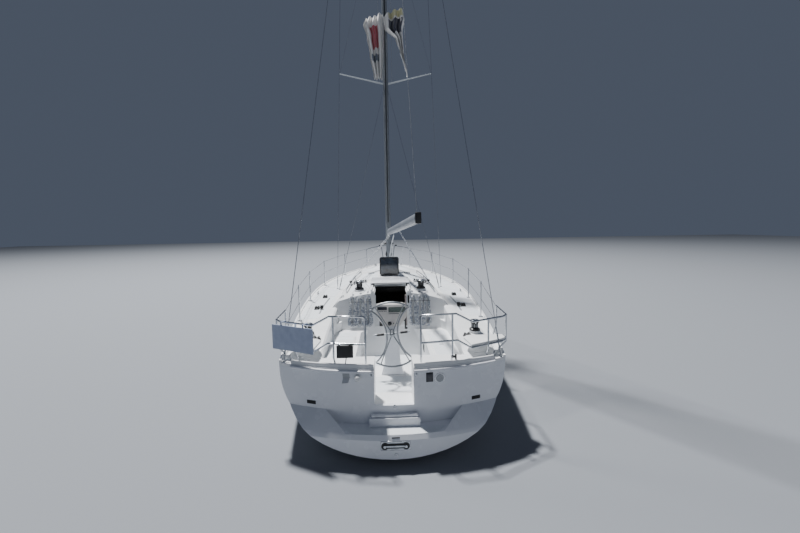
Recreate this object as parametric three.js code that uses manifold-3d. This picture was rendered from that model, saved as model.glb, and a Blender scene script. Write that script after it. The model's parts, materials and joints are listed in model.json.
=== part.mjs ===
// A 10.3 m cruising sailing yacht, afloat with its sails off. Millimetres, +X starboard, +Y bow, +Z up.
// The origin is amidships on the centreline at the waterline.
import * as THREE from "three";
import { mergeVertices } from "three/addons/utils/BufferGeometryUtils.js";
import Module from "manifold-3d";

const wasm = await Module();
wasm.setup();

// Driving dimensions
const seam = 0.4; // gap left between pieces that touch
const hullSkin = 35;
const deckSkin = 30;
const platformAft = -5150;
const transomAft = -4850;
const transomRadius = 2900;
const platformZ = 370;
const transomFootZ = 530;
const platformHalf = 430;
const platformInnerHalf = 820;
const gateHalf = 230;
const sillZ = 600;
const soleZ = 550;
const seatZ = 950;
const wellHalf = 500;
const benchFront = -4420;
const cockpitHalf = 910;
const bulkheadFoot = { y: -2700, z: 950 };
const bulkheadHead = { y: -2480, z: 1500 };
const doorHalf = 272;
const doorSillZ = 1000;
const hatchwayFront = -1940;
const mastY = 850;
const mastTopZ = 15600;
const mastHalf = { x: 62, y: 88 };
const wireRadius = 5;
const railRadius = 12.5;
const railFlat = railRadius * Math.cos(Math.PI / 8); // from its middle to the flats of an eight sided bar

// Port is -X and starboard is +X
const sides = [
  { side: "port", sign: -1 },
  { side: "starboard", sign: 1 },
];

// Hull sections: place, half beam at the sheer, sheer height, canoe body bottom,
// and how full the side and the bottom are
const stations = [
  { y: -5150, beam: 1310, sheer: 985, bottom: 100, side: 2.0, floor: 2.3 },
  { y: -4300, beam: 1440, sheer: 1000, bottom: -65, side: 2.05, floor: 2.35 },
  { y: -3200, beam: 1570, sheer: 1025, bottom: -240, side: 2.1, floor: 2.45 },
  { y: -2000, beam: 1685, sheer: 1060, bottom: -370, side: 2.2, floor: 2.5 },
  { y: -600, beam: 1755, sheer: 1105, bottom: -445, side: 2.2, floor: 2.45 },
  { y: 800, beam: 1720, sheer: 1155, bottom: -440, side: 2.0, floor: 2.2 },
  { y: 2000, beam: 1500, sheer: 1200, bottom: -380, side: 1.75, floor: 1.95 },
  { y: 3100, beam: 1130, sheer: 1240, bottom: -280, side: 1.55, floor: 1.75 },
  { y: 4000, beam: 720, sheer: 1275, bottom: -160, side: 1.4, floor: 1.6 },
  { y: 4600, beam: 400, sheer: 1298, bottom: -40, side: 1.3, floor: 1.5 },
  { y: 4900, beam: 220, sheer: 1309, bottom: 180, side: 1.3, floor: 1.4 },
  { y: 5060, beam: 110, sheer: 1315, bottom: 640, side: 1.3, floor: 1.3 },
  { y: 5150, beam: 40, sheer: 1319, bottom: 1180, side: 1.3, floor: 1.2 },
];

// Coachroof sections: place, half width at the deck, half width and height at the shoulder,
// and height at the crown
const roofStations = [
  { y: -2900, foot: 1100, shoulder: 905, shoulderZ: 1395, crown: 1550 },
  { y: -1500, foot: 1130, shoulder: 900, shoulderZ: 1425, crown: 1535 },
  { y: 0, foot: 1100, shoulder: 850, shoulderZ: 1445, crown: 1545 },
  { y: 1100, foot: 950, shoulder: 700, shoulderZ: 1455, crown: 1545 },
  { y: 2000, foot: 730, shoulder: 500, shoulderZ: 1420, crown: 1480 },
  { y: 2700, foot: 520, shoulder: 320, shoulderZ: 1345, crown: 1385 },
  { y: 3150, foot: 360, shoulder: 200, shoulderZ: 1290, crown: 1305 },
];

// Coaming sections: place, outer half width at the top and at the deck, height of the top
const coamingStations = [
  { y: -4330, top: 1240, foot: 1350, z: 1040 },
  { y: -4100, top: 1290, foot: 1390, z: 1120 },
  { y: -3700, top: 1290, foot: 1400, z: 1190 },
  { y: -3200, top: 1170, foot: 1300, z: 1250 },
  { y: -2550, top: 1060, foot: 1170, z: 1310 },
];

// Finishes
function finish(color, roughness, metalness) {
  return new THREE.MeshStandardMaterial({ color, roughness, metalness });
}
const gelcoat = finish(0xf2f3f5, 0.25, 0);
const deckGelcoat = finish(0xeeeeec, 0.4, 0);
const antifouling = finish(0x8d949c, 0.7, 0);
const stainless = finish(0xc9cccf, 0.2, 1);
const anodised = finish(0xa9adb1, 0.4, 0.9);
const paintedAlloy = finish(0xd9dbdd, 0.35, 0.1);
const blackPlastic = finish(0x1c1d20, 0.5, 0);
const greyPlastic = finish(0xb9bcbf, 0.5, 0);
const smokedAcrylic = finish(0x23282c, 0.1, 0);
const castIron = finish(0x5b5f63, 0.7, 0.4);
const bronze = finish(0xa8834a, 0.35, 0.9);
const rope = finish(0xb4b8bd, 0.9, 0);
const flagCloth = finish(0xe8e4e2, 0.9, 0);
const whiteBoard = finish(0xe9ebf0, 0.5, 0);

// Solids and meshes
function makeSolid(positions, triangles) {
  return new wasm.Manifold(
    new wasm.Mesh({ numProp: 3, vertProperties: positions, triVerts: triangles }),
  );
}

function solid(geometry) {
  const bare = geometry.clone();
  for (const name of Object.keys(bare.attributes)) {
    if (name !== "position") bare.deleteAttribute(name);
  }
  const merged = mergeVertices(bare, 1e-3);
  const kept = [];
  const index = merged.index.array;
  for (let i = 0; i < index.length; i += 3) {
    const [a, b, c] = [index[i], index[i + 1], index[i + 2]];
    if (a !== b && b !== c && c !== a) kept.push(a, b, c);
  }
  const positions = merged.attributes.position.array;
  const made = makeSolid(positions, new Uint32Array(kept));
  return made.volume() < 0 ? makeSolid(positions, new Uint32Array(kept.reverse())) : made;
}

function geometryOf(body) {
  const mesh = body.getMesh();
  const points = new Float32Array(mesh.numVert * 3);
  for (let i = 0; i < mesh.numVert; i++) {
    points.set(mesh.vertProperties.subarray(i * mesh.numProp, i * mesh.numProp + 3), i * 3);
  }
  const geometry = new THREE.BufferGeometry();
  geometry.setAttribute("position", new THREE.BufferAttribute(points, 3));
  geometry.setIndex(new THREE.BufferAttribute(mesh.triVerts, 1));
  geometry.computeVertexNormals();
  return geometry;
}

// Primitive shapes
function box(x0, x1, y0, y1, z0, z1) {
  const geometry = new THREE.BoxGeometry(x1 - x0, y1 - y0, z1 - z0);
  return solid(geometry.translate((x0 + x1) / 2, (y0 + y1) / 2, (z0 + z1) / 2));
}

function extrudeOutline(points, depth, segments = 4) {
  let shape = points;
  if (Array.isArray(points)) shape = new THREE.Shape(points.map(([u, v]) => new THREE.Vector2(u, v)));
  return new THREE.ExtrudeGeometry(shape, { depth, bevelEnabled: false, curveSegments: segments });
}

// A plan outline of x and y, raised from z0 to z1
function planPrism(points, z0, z1) {
  return solid(extrudeOutline(points, z1 - z0).translate(0, 0, z0));
}

// A side outline of y and z, running from x0 to x1
function sidePrism(points, x0, x1) {
  const turn = new THREE.Matrix4().makeBasis(
    new THREE.Vector3(0, 1, 0),
    new THREE.Vector3(0, 0, 1),
    new THREE.Vector3(1, 0, 0),
  );
  return solid(extrudeOutline(points, x1 - x0).applyMatrix4(turn).translate(x0, 0, 0));
}

// A front outline of x and z, running from y0 to y1
function frontPrism(points, y0, y1) {
  return solid(extrudeOutline(points, y1 - y0).rotateX(Math.PI / 2).translate(0, y1, 0));
}

// A round tube bent smoothly through points
function bentTube(points, radius, steps, facets = 8) {
  const stops = points.map((p) => new THREE.Vector3(...p));
  const extrudePath = new THREE.CatmullRomCurve3(stops, false, "centripetal");
  const ring = new THREE.Shape().absarc(0, 0, radius, 0, Math.PI * 2);
  const options = { steps, extrudePath, curveSegments: facets / 2, bevelEnabled: false };
  return solid(new THREE.ExtrudeGeometry(ring, options));
}

// Lowest and highest points of a body within a small square about a place
function heightsAt(body, x, y, half) {
  const column = geometryOf(body.intersect(box(x - half, x + half, y - half, y + half, -3000, 16000)));
  column.computeBoundingBox();
  return { low: column.boundingBox.min.z, high: column.boundingBox.max.z };
}
function restOn(body, x, y, half) {
  return heightsAt(body, x, y, half).high + seam;
}

function drum(profile, x, y, z, segments = 16) {
  const outline = profile.map(([r, h]) => new THREE.Vector2(r, h));
  return solid(new THREE.LatheGeometry(outline, segments).rotateX(Math.PI / 2).translate(x, y, z));
}

// A closed skin over rings of equal point count, capped at both ends
function loft(rings) {
  const count = rings[0].length;
  const points = rings.flat(2);
  const triangles = [];
  for (let r = 0; r + 1 < rings.length; r++) {
    for (let i = 0; i < count; i++) {
      const a = r * count + i;
      const b = r * count + ((i + 1) % count);
      triangles.push(a, b, b + count, a, b + count, a + count);
    }
  }
  for (const [r, turn] of [[0, 1], [rings.length - 1, -1]]) {
    const centre = points.length / 3;
    const middle = [0, 1, 2].map((k) => rings[r].reduce((sum, p) => sum + p[k], 0) / count);
    points.push(...middle);
    for (let i = 0; i < count; i++) {
      const a = r * count + i;
      const b = r * count + ((i + 1) % count);
      triangles.push(...(turn > 0 ? [centre, b, a] : [centre, a, b]));
    }
  }
  const geometry = new THREE.BufferGeometry();
  geometry.setAttribute("position", new THREE.Float32BufferAttribute(points, 3));
  geometry.setIndex(triangles);
  return solid(geometry);
}

// A round bar through points, mitred at each bend
function rod(points, radius, facets = 8) {
  const stops = points.map((p) => new THREE.Vector3(...p));
  const runs = stops.slice(1).map((p, i) => p.clone().sub(stops[i]).normalize());
  let across = new THREE.Vector3(0, 0, 1).cross(runs[0]);
  if (across.length() < 0.1) across = new THREE.Vector3(1, 0, 0).cross(runs[0]);
  across.normalize();
  const rings = stops.map((stop, i) => {
    const run = runs[Math.max(0, i - 1)];
    const next = runs[Math.min(i, runs.length - 1)];
    const mitre = run.clone().add(next).normalize();
    const up = run.clone().cross(across);
    const ring = [];
    for (let k = 0; k < facets; k++) {
      const turn = (Math.PI * 2 * (k + 0.5)) / facets;
      const spoke = across.clone().multiplyScalar(radius * Math.cos(turn));
      spoke.addScaledVector(up, radius * Math.sin(turn));
      spoke.addScaledVector(run, -spoke.dot(mitre) / run.dot(mitre));
      ring.push(stop.clone().add(spoke).toArray());
    }
    across.applyQuaternion(new THREE.Quaternion().setFromUnitVectors(run, next));
    return ring;
  });
  return loft(rings);
}

// Smooth values between the rows of a table, by the column named y
function tableAt(table, y) {
  const last = table.length - 1;
  let i = table.findIndex((row) => row.y > y) - 1;
  if (i === -2) i = last - 1;
  i = Math.max(0, Math.min(last - 1, i));
  const [p, a, b, q] = [table[Math.max(0, i - 1)], table[i], table[i + 1], table[Math.min(last, i + 2)]];
  const t = (y - a.y) / (b.y - a.y);
  const row = {};
  for (const key of Object.keys(a)) {
    const slopeA = p === a ? b[key] - a[key] : ((b[key] - p[key]) / (b.y - p.y)) * (b.y - a.y);
    const slopeB = q === b ? b[key] - a[key] : ((q[key] - a[key]) / (q.y - a.y)) * (b.y - a.y);
    const [t2, t3] = [t * t, t * t * t];
    const ends = (2 * t3 - 3 * t2 + 1) * a[key] + (3 * t2 - 2 * t3) * b[key];
    row[key] = ends + (t3 - 2 * t2 + t) * slopeA + (t3 - t2) * slopeB;
  }
  row.y = y;
  return row;
}

function placesBetween(from, to, steps) {
  return Array.from({ length: steps + 1 }, (_, i) => from + ((to - from) * i) / steps);
}

// Hull
function hullRing(y, inset, lift) {
  const row = tableAt(stations, y);
  const beam = row.beam - inset;
  const bottom = row.bottom + inset;
  const ring = [];
  const steps = 28;
  for (let i = 0; i <= steps; i++) {
    const turn = -Math.PI / 2 + (Math.PI * i) / steps;
    const out = Math.sign(turn) * beam * Math.pow(Math.abs(Math.sin(turn)), 2 / row.side);
    const down = (row.sheer - bottom) * Math.pow(Math.max(0, Math.cos(turn)), 2 / row.floor);
    ring.push([out, y, row.sheer - down]);
  }
  if (lift) {
    ring.push([beam, y, row.sheer + lift], [-beam, y, row.sheer + lift]);
  }
  return ring;
}

const hullPlaces = [...placesBetween(-5150, 4600, 22), 4760, 4900, 4990, 5060, 5110, 5150];
const hullOuter = loft(hullPlaces.map((y) => hullRing(y, 0, 0)));
const hullInner = loft([...placesBetween(-4900, 4500, 16)].map((y) => hullRing(y, hullSkin, 80)));

// The stern's outline in plan is an arc, further aft below the crease than above it
function sternRing(z, centreY, radius) {
  return Array.from({ length: 96 }, (_, i) => {
    const turn = (Math.PI * 2 * i) / 96;
    return [radius * Math.cos(turn), centreY + radius * Math.sin(turn), z];
  });
}

function sternDrum(inset) {
  const radius = transomRadius - inset;
  const low = platformAft + transomRadius;
  const high = transomAft + transomRadius;
  return loft([
    sternRing(-900, low, radius),
    sternRing(platformZ - 50, low, radius),
    sternRing(platformZ, low + 30, radius),
    sternRing(transomFootZ, high - 20, radius),
    sternRing(2200, high, radius),
  ]).add(box(-2500, 2500, -3500, 6000, -900, 2200));
}

const sternLimit = sternDrum(0);
const sternInside = loft([
  sternRing(-900, transomAft + transomRadius, transomRadius - hullSkin),
  sternRing(2200, transomAft + transomRadius, transomRadius - hullSkin),
]).add(box(-2500, 2500, -3500, 6000, -900, 2200));

const platformRear = transomAft - 20 + transomRadius - Math.sqrt(transomRadius ** 2 - platformInnerHalf ** 2);
const platformPocket = planPrism(
  [
    [-platformHalf, platformAft - 60],
    [platformHalf, platformAft - 60],
    [platformInnerHalf, platformRear],
    [platformInnerHalf / 2, transomAft + 22],
    [0, transomAft - 18],
    [-platformInnerHalf / 2, transomAft + 22],
    [-platformInnerHalf, platformRear],
  ],
  platformZ,
  transomFootZ + 60,
);

const hullBody = hullOuter
  .intersect(sternLimit)
  .subtract(hullInner.intersect(sternInside))
  .subtract(platformPocket)
  .add(box(-295, 295, transomAft - 80, transomAft + 30, platformZ - 20, 470))
  .subtract(box(-gateHalf, gateHalf, transomAft - 60, transomAft + 120, sillZ, 1200))
  .subtract(rod([[0, -4350, -300], [0, -4350, 260]], 28.7, 24));

// Deck and coachroof
function deckRing(y, toe) {
  const row = tableAt(stations, y);
  const edge = Math.max(row.beam, 60);
  const inner = edge - 32;
  const low = row.sheer + seam;
  const top = row.sheer + deckSkin;
  const camber = row.beam / 1700;
  const rail = [[edge, low], [edge, top + toe], [inner, top + toe]];
  const half = [...rail, [inner, top], [inner / 2, top + 22 * camber]];
  const right = half.map(([x, z]) => [x, y, z]);
  const left = half.map(([x, z]) => [-x, y, z]).reverse();
  return [...right, [0, y, top + 30 * camber], ...left];
}

function roofRing(y, inset, drop) {
  const row = tableAt(roofStations, y);
  const base = tableAt(stations, y).sheer + 12 - drop;
  const rise = row.crown - row.shoulderZ;
  const half = [[row.foot - inset, base], [row.shoulder + 14 - inset, row.shoulderZ - 22 - inset]];
  for (const part of [0.97, 0.8, 0.6, 0.3]) {
    half.push([(row.shoulder - inset) * part, row.shoulderZ - inset + rise * (1 - part * part)]);
  }
  const right = half.map(([x, z]) => [x, y, z]);
  const left = half.map(([x, z]) => [-x, y, z]).reverse();
  return [...right, [0, y, row.crown - inset], ...left];
}

function bulkheadAt(z) {
  const lean = (bulkheadHead.y - bulkheadFoot.y) / (bulkheadHead.z - bulkheadFoot.z);
  return bulkheadFoot.y + (z - bulkheadFoot.z) * lean;
}

function forwardOfBulkhead(offset) {
  const [foot, head] = [bulkheadAt(0) + offset, bulkheadAt(2400) + offset];
  return sidePrism([[foot, 0], [6000, 0], [6000, 2400], [head, 2400]], -2500, 2500);
}

const deckPlate = loft([...placesBetween(-2900, 4700, 14), 4880, 5040].map((y) => deckRing(y, 22)));
const roofOuter = loft([...placesBetween(-2900, 3150, 11)].map((y) => roofRing(y, 0, 0)));
const roofInner = loft([...placesBetween(-2890, 2900, 10)].map((y) => roofRing(y, deckSkin, 60)));
const bulkheadLean = sidePrism(
  [
    [bulkheadAt(420), 420],
    [bulkheadAt(420) + deckSkin, 420],
    [bulkheadAt(1460) + deckSkin, 1460],
    [bulkheadAt(1460), 1460],
  ],
  -1050,
  1050,
);
const lid = { thick: 26, over: 18 };
const hatchCut = { x: 200, y0: -190, y1: 190 };
const hatchFrameZ = 1552;
const foreHatchCut = { x: 230, y0: 1500, y1: 1960 };
const foreHatchAft = { y: foreHatchCut.y0 - lid.over, z: 1533 };
const foreHatchSlope = THREE.MathUtils.degToRad(3.5);
const foreHatchLength = foreHatchCut.y1 - foreHatchCut.y0 + lid.over * 2;
const foreHatchFore = {
  y: foreHatchAft.y + foreHatchLength * Math.cos(foreHatchSlope),
  z: foreHatchAft.z - foreHatchLength * Math.sin(foreHatchSlope),
};
const hatchFrame = box(-222, 222, hatchCut.y0 - 24, hatchCut.y1 + 24, 1515, hatchFrameZ - seam);
const foreHatchFrame = sidePrism(
  [
    [foreHatchAft.y - 6, 1460],
    [foreHatchFore.y + 6, 1440],
    [foreHatchFore.y + 6, foreHatchFore.z - 1],
    [foreHatchAft.y - 6, foreHatchAft.z - seam],
  ],
  -foreHatchCut.x - 24,
  foreHatchCut.x + 24,
);
const slideZ = 1560;
function slideRail(from, to, top) {
  return box(from, to, -2465, -1200, 1475, top);
}
const slideRails = slideRail(285, 345, slideZ - seam)
  .add(slideRail(316, 345, slideZ + 30))
  .add(slideRail(-345, -285, slideZ - seam))
  .add(slideRail(-345, -316, slideZ + 30));
function hatchWell(cut) {
  return box(-cut.x, cut.x, cut.y0, cut.y1, 1100, 1700);
}

// Coachroof side windows
function windowPrism(sign, inset) {
  const outline = [
    [-1500 + inset, 1165 + inset],
    [900 - inset, 1215 + inset],
    [820 - inset, 1350 - inset],
    [-1430 + inset, 1350 - inset],
  ];
  return sign > 0 ? sidePrism(outline, 500, 1300) : sidePrism(outline, -1300, -500);
}

let deckBody = deckPlate
  .add(roofOuter)
  .intersect(forwardOfBulkhead(0))
  .subtract(roofInner.intersect(forwardOfBulkhead(deckSkin)))
  .add(hatchFrame)
  .add(foreHatchFrame)
  .add(slideRails)
  .add(bulkheadLean.intersect(hullInner.add(roofOuter)))
  .subtract(box(-doorHalf, doorHalf, -2900, -2300, doorSillZ, 1700))
  .subtract(box(-doorHalf, doorHalf, -2600, hatchwayFront, 1300, 1700))
  .subtract(hatchWell(hatchCut))
  .subtract(hatchWell(foreHatchCut));
for (const { sign } of sides) {
  deckBody = deckBody.subtract(windowPrism(sign, 0));
}
const roofWinch = { x: 567, y: -1950, z: 1515 };
for (const { sign } of sides) {
  const pad = [[0, 0], [98, 0], [92, 60], [0, 60]];
  deckBody = deckBody.add(drum(pad, sign * roofWinch.x, roofWinch.y, roofWinch.z - 60, 16));
}
const mastStep = roofOuter.intersect(box(-90, 90, mastY - 120, mastY + 120, 1300, 1600));
deckBody = deckBody.add(mastStep).subtract(box(-200, 200, mastY - 200, mastY + 200, 1530, 1700));

// Cockpit moulding
const cockpitZone = sidePrism(
  [[-5400, 300], [bulkheadAt(300) - seam, 300], [bulkheadAt(1700) - seam, 1700], [-5400, 1700]],
  -2500,
  2500,
);
const cockpitFloor = soleZ - 40;
const underDeck = [[-5000, cockpitFloor], [-2000, cockpitFloor], [-2000, 1078], [-5000, 1000]];
const cockpitInHull = hullInner.intersect(sternInside).intersect(sidePrism(underDeck, -1260, 1260));
const cockpitShrink = new THREE.Matrix4().makeScale(0.999, 1, 1);
function shrunk(body) {
  return solid(geometryOf(body).applyMatrix4(cockpitShrink).translate(0, 2, 0));
}

function coaming(sign) {
  return loft(
    coamingStations.map(({ y, top, foot, z }) => {
      const base = tableAt(stations, y).sheer + 12;
      const outer = [[cockpitHalf - 20, base], [foot, base], [top, z - 12], [top - 25, z]];
      const inner = [[cockpitHalf + 25, z], [cockpitHalf, z - 20]];
      return [...outer, ...inner].map(([x, h]) => [sign * x, y, h]);
    }),
  );
}

const benchCorner = 120;
const wellOutline = [
  [-gateHalf, -5200],
  [gateHalf, -5200],
  [gateHalf, benchFront],
  [wellHalf, benchFront],
  [wellHalf, -2880],
  [wellHalf - 40, -2780],
  [wellHalf - benchCorner, -2700],
  [300, -2400],
  [-300, -2400],
  [-wellHalf + benchCorner, -2700],
  [-wellHalf + 40, -2780],
  [-wellHalf, -2880],
  [-wellHalf, benchFront],
  [-gateHalf, benchFront],
];
const seatOutline = [
  [-cockpitHalf, benchFront],
  [cockpitHalf, benchFront],
  [cockpitHalf, -2850],
  [cockpitHalf - 60, -2740],
  [cockpitHalf - 160, -2400],
  [-cockpitHalf + 160, -2400],
  [-cockpitHalf + 60, -2740],
  [-cockpitHalf, -2850],
];
const lockerLid = { x0: 560, x1: 860, y0: -4250, y1: -3150, thick: 14 };
const lockerWell = { x0: 600, x1: 830, y0: -4200, y1: -3200, z: 620 };
const sternWinch = { x: 1170, y: -3800, z: 1192 };
let cockpitBody = loft(placesBetween(-4900, -2300, 6).map((y) => deckRing(y, 22)))
  .intersect(sternLimit)
  .add(shrunk(cockpitInHull))
  .add(coaming(1))
  .add(coaming(-1))
  .subtract(planPrism(wellOutline, soleZ, 1700))
  .subtract(planPrism(seatOutline, seatZ, 1700))
  .intersect(cockpitZone)
  .subtract(box(-gateHalf, gateHalf, -5200, -4700, sillZ - 60, 1700));
for (const { sign } of sides) {
  const [a, b] = sign > 0 ? [lockerWell.x0, lockerWell.x1] : [-lockerWell.x1, -lockerWell.x0];
  cockpitBody = cockpitBody
    .subtract(box(a, b, lockerWell.y0, lockerWell.y1, lockerWell.z, seatZ + 5))
    .add(drum([[0, 0], [92, 0], [86, 80], [0, 80]], sign * sternWinch.x, sternWinch.y, sternWinch.z - 80, 16));
}

// The group that holds every mesh
const yacht = new THREE.Group();
function place(name, body, material, parent = yacht) {
  const mesh = new THREE.Mesh(body.isBufferGeometry ? body : geometryOf(body), material);
  mesh.name = name;
  parent.add(mesh);
  return mesh;
}

place("hull", hullBody, gelcoat);
place("deck", deckBody, deckGelcoat);
place("cockpit", cockpitBody, deckGelcoat);

// Cockpit locker lids, hinged on their outboard edge
for (const { side, sign } of sides) {
  const [a, b] = sign > 0 ? [lockerLid.x0, lockerLid.x1] : [-lockerLid.x1, -lockerLid.x0];
  const panel = box(a, b, lockerLid.y0, lockerLid.y1, seatZ + seam, seatZ + lockerLid.thick);
  place(`locker_lid_${side}`, panel, deckGelcoat);
}

// Windows in the coachroof sides
const paneThick = 8;
const behindPane = loft(placesBetween(-2890, 3100, 10).map((y) => roofRing(y, paneThick, 60)));
const paneSkin = roofOuter.subtract(behindPane);
for (const { side, sign } of sides) {
  place(`cabin_window_${side}`, paneSkin.intersect(windowPrism(sign, seam)), smokedAcrylic);
}

// Companionway hatch: a garage fixed to the coachroof, and the lid that slides under it
const garage = { half: 362, aft: -1940, fore: -1180, top: 1632, skin: 14 };
const garageInner = garage.half - garage.skin;
const garageRoof = garage.top - garage.skin;
const garageFore = garage.fore - garage.skin;
const garageBore = box(-garageInner, garageInner, garage.aft - 10, garageFore, 1400, garageRoof);
const garageShell = box(-garage.half, garage.half, garage.aft, garage.fore, 1440, garage.top)
  .subtract(garageBore)
  .subtract(roofOuter.add(box(-345.5, 345.5, garage.aft - 20, garage.fore - 19, 1400, slideZ + 31)));
place("hatch_garage", solid(geometryOf(garageShell).translate(0, 0, seam)), gelcoat);
const lidHandle = box(-60, 60, -1920, -1890, slideZ, slideZ + 44);
const slidingLid = box(-312, 312, -1925, -1345, slideZ, slideZ + 22).add(lidHandle);
place("companionway_hatch", slidingLid, smokedAcrylic);

// Deck hatches: a black framed acrylic lid each, the saloon one standing open
function hatchLid(cut) {
  const length = cut.y1 - cut.y0 + lid.over * 2;
  return box(-cut.x - lid.over, cut.x + lid.over, 0, length, 0, lid.thick);
}
const saloonHatch = new THREE.Group();
saloonHatch.position.set(0, hatchCut.y0 - lid.over, hatchFrameZ);
saloonHatch.rotation.x = Math.PI / 2;
yacht.add(saloonHatch);
place("saloon_hatch", hatchLid(hatchCut), smokedAcrylic, saloonHatch);
const foreHatch = new THREE.Group();
foreHatch.position.set(0, foreHatchAft.y, foreHatchAft.z);
foreHatch.rotation.x = -foreHatchSlope;
yacht.add(foreHatch);
place("forward_hatch", hatchLid(foreHatchCut), smokedAcrylic, foreHatch);

// Keel, saildrive and rudder
const keelTop = -400;
const keelTip = -1780;
function foilRing(chord, leadY, z, thickness) {
  const parts = [[0, 0], [0.08, 0.62], [0.3, 1], [0.6, 0.78], [1, 0.06]];
  const right = parts.map(([u, w]) => [(w * thickness) / 2, leadY - u * chord, z]);
  const left = parts.slice(1).reverse().map(([u, w]) => [(-w * thickness) / 2, leadY - u * chord, z]);
  return [...right, ...left];
}
const fin = loft([foilRing(1250, 780, keelTop, 150), foilRing(950, 620, keelTip, 120)]);
const bulbRings = [[1000, 20], [900, 110], [600, 165], [100, 150], [-400, 90], [-700, 24]].map(([y, r]) =>
  Array.from({ length: 14 }, (_, i) => {
    const turn = (Math.PI * 2 * i) / 14;
    return [r * 1.15 * Math.cos(turn), y, -1790 + r * 0.8 * Math.sin(turn)];
  }),
);
const belowHull = solid(geometryOf(hullOuter).translate(0, 0, -seam));
place("keel", fin.subtract(belowHull).add(loft(bulbRings)), castIron);

const rudderStockY = -4350;
const rudderBlade = loft([
  foilRing(500, rudderStockY + 130, -150, 74),
  foilRing(430, rudderStockY + 110, -1100, 56),
  foilRing(300, rudderStockY + 60, -1620, 30),
]);
place("rudder", rudderBlade.add(rod([[0, rudderStockY, -400], [0, rudderStockY, 240]], 28, 16)), antifouling);

const shaft = { y: -2350, z: -700 };
const driveLeg = loft([
  foilRing(330, -1930, -330, 90),
  foilRing(300, -1950, -560, 80),
  foilRing(300, -1960, -660, 80),
])
  .subtract(belowHull)
  .add(rod([[0, -1880, shaft.z], [0, shaft.y, shaft.z]], 48, 14));
place("saildrive", driveLeg, greyPlastic);
let propeller = rod([[0, shaft.y - seam, shaft.z], [0, shaft.y - 95, shaft.z]], 44, 14);
for (const turn of [0, 120, 240]) {
  const blade = new THREE.BoxGeometry(90, 12, 150).rotateZ(0.6).translate(0, 0, 112);
  blade.rotateY(THREE.MathUtils.degToRad(turn)).translate(0, shaft.y - 50, shaft.z);
  propeller = propeller.add(solid(blade));
}
place("propeller", propeller, bronze);
const engineHalf = 220;
const engineBed = restOn(hullBody, 0, -2100 + engineHalf, engineHalf);
place("engine", box(-engineHalf, engineHalf, -2100, -1450, engineBed, 330), greyPlastic);

// Mast, spreaders and boom
function ellipse(halfX, halfY, segments) {
  const outline = [];
  for (let i = 0; i < segments; i++) {
    const turn = (Math.PI * 2 * i) / segments;
    outline.push([halfX * Math.cos(turn), halfY * Math.sin(turn)]);
  }
  return outline;
}
const mastFootZ = 1530 + seam;
const masthead = box(-26, 26, mastY - 330, mastY + 110, mastTopZ - 70, mastTopZ);
const mastSection = extrudeOutline(ellipse(mastHalf.x, mastHalf.y, 20), mastTopZ - mastFootZ);
const mastTube = solid(mastSection.translate(0, mastY, mastFootZ));
const mastShoe = box(-90, 90, mastY - 115, mastY + 115, mastFootZ, mastFootZ + 40);
place("mast", mastTube.add(masthead).add(mastShoe), anodised);

// Spreader pairs: root height, half span, sweep aft and rise
const spreaders = [
  { name: "lower", z: 6060, half: 1045, sweep: 500, rise: 60 },
  { name: "upper", z: 10300, half: 880, sweep: 420, rise: 50 },
];
const spreaderRootY = mastY - 20;
function spreaderRing(x, y, z, wide, tall) {
  const outline = [[wide, 0], [wide * 0.5, tall], [-wide, 0], [wide * 0.5, -tall]];
  return outline.map(([along, up]) => [x, y + along, z + up]);
}
for (const { name, z, half, sweep, rise } of spreaders) {
  for (const { side, sign } of sides) {
    const root = spreaderRing(sign * (mastHalf.x + seam), spreaderRootY, z, 48, 18);
    const tip = spreaderRing(sign * half, spreaderRootY - sweep, z + rise, 30, 12);
    place(`spreader_${name}_${side}`, loft([root, tip]), anodised);
  }
}

// Standing rigging
const [low, high] = spreaders;
const chainplate = { x: 1240, y: 330 };
const hounds = { y: mastY, z: 14200 };
const backstayFoot = { x: 1350, y: -4484 };
const tipGap = wireRadius + 2 * seam;
// A wire from its deck fitting through the points above, with its turnbuckle at the foot
function stay(foot, ...points) {
  const pin = new THREE.Vector3(foot[0], foot[1], foot[2] + 30);
  const along = new THREE.Vector3(...points[0]).sub(pin).normalize();
  const at = (distance) => pin.clone().addScaledVector(along, distance).toArray();
  return rod([foot, pin.toArray(), at(70)], 8)
    .add(rod([at(60), at(260)], 11))
    .add(rod([at(250), at(330)], 7))
    .add(rod([at(300), ...points], wireRadius, 6));
}
for (const { side, sign } of sides) {
  const wireFoot = (body, x, y) => [sign * x, y, restOn(body, sign * x, y, 10)];
  const foot = wireFoot(deckBody, chainplate.x, chainplate.y);
  const lowTip = [sign * (low.half + tipGap), spreaderRootY - low.sweep, low.z + low.rise];
  const highTipX = high.half + tipGap + (12 * high.half) / (hounds.z - high.z);
  const highTip = [sign * highTipX, spreaderRootY - high.sweep, high.z + high.rise];
  const head = [sign * (mastHalf.x + wireRadius + seam), hounds.y, hounds.z];
  place(`cap_shroud_${side}`, stay(foot, lowTip, highTip, head), stainless);
  const lowerFoot = wireFoot(deckBody, chainplate.x - 60, chainplate.y - 90);
  const lowerHead = [sign * (mastHalf.x + wireRadius + seam), mastY, low.z - 180];
  place(`lower_shroud_${side}`, stay(lowerFoot, lowerHead), stainless);
  const sternFoot = wireFoot(cockpitBody, backstayFoot.x, backstayFoot.y);
  const sternHead = [sign * (26 + wireRadius + seam), mastY - 300, mastTopZ - 40];
  place(`backstay_${side}`, stay(sternFoot, sternHead), stainless);
}

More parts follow.
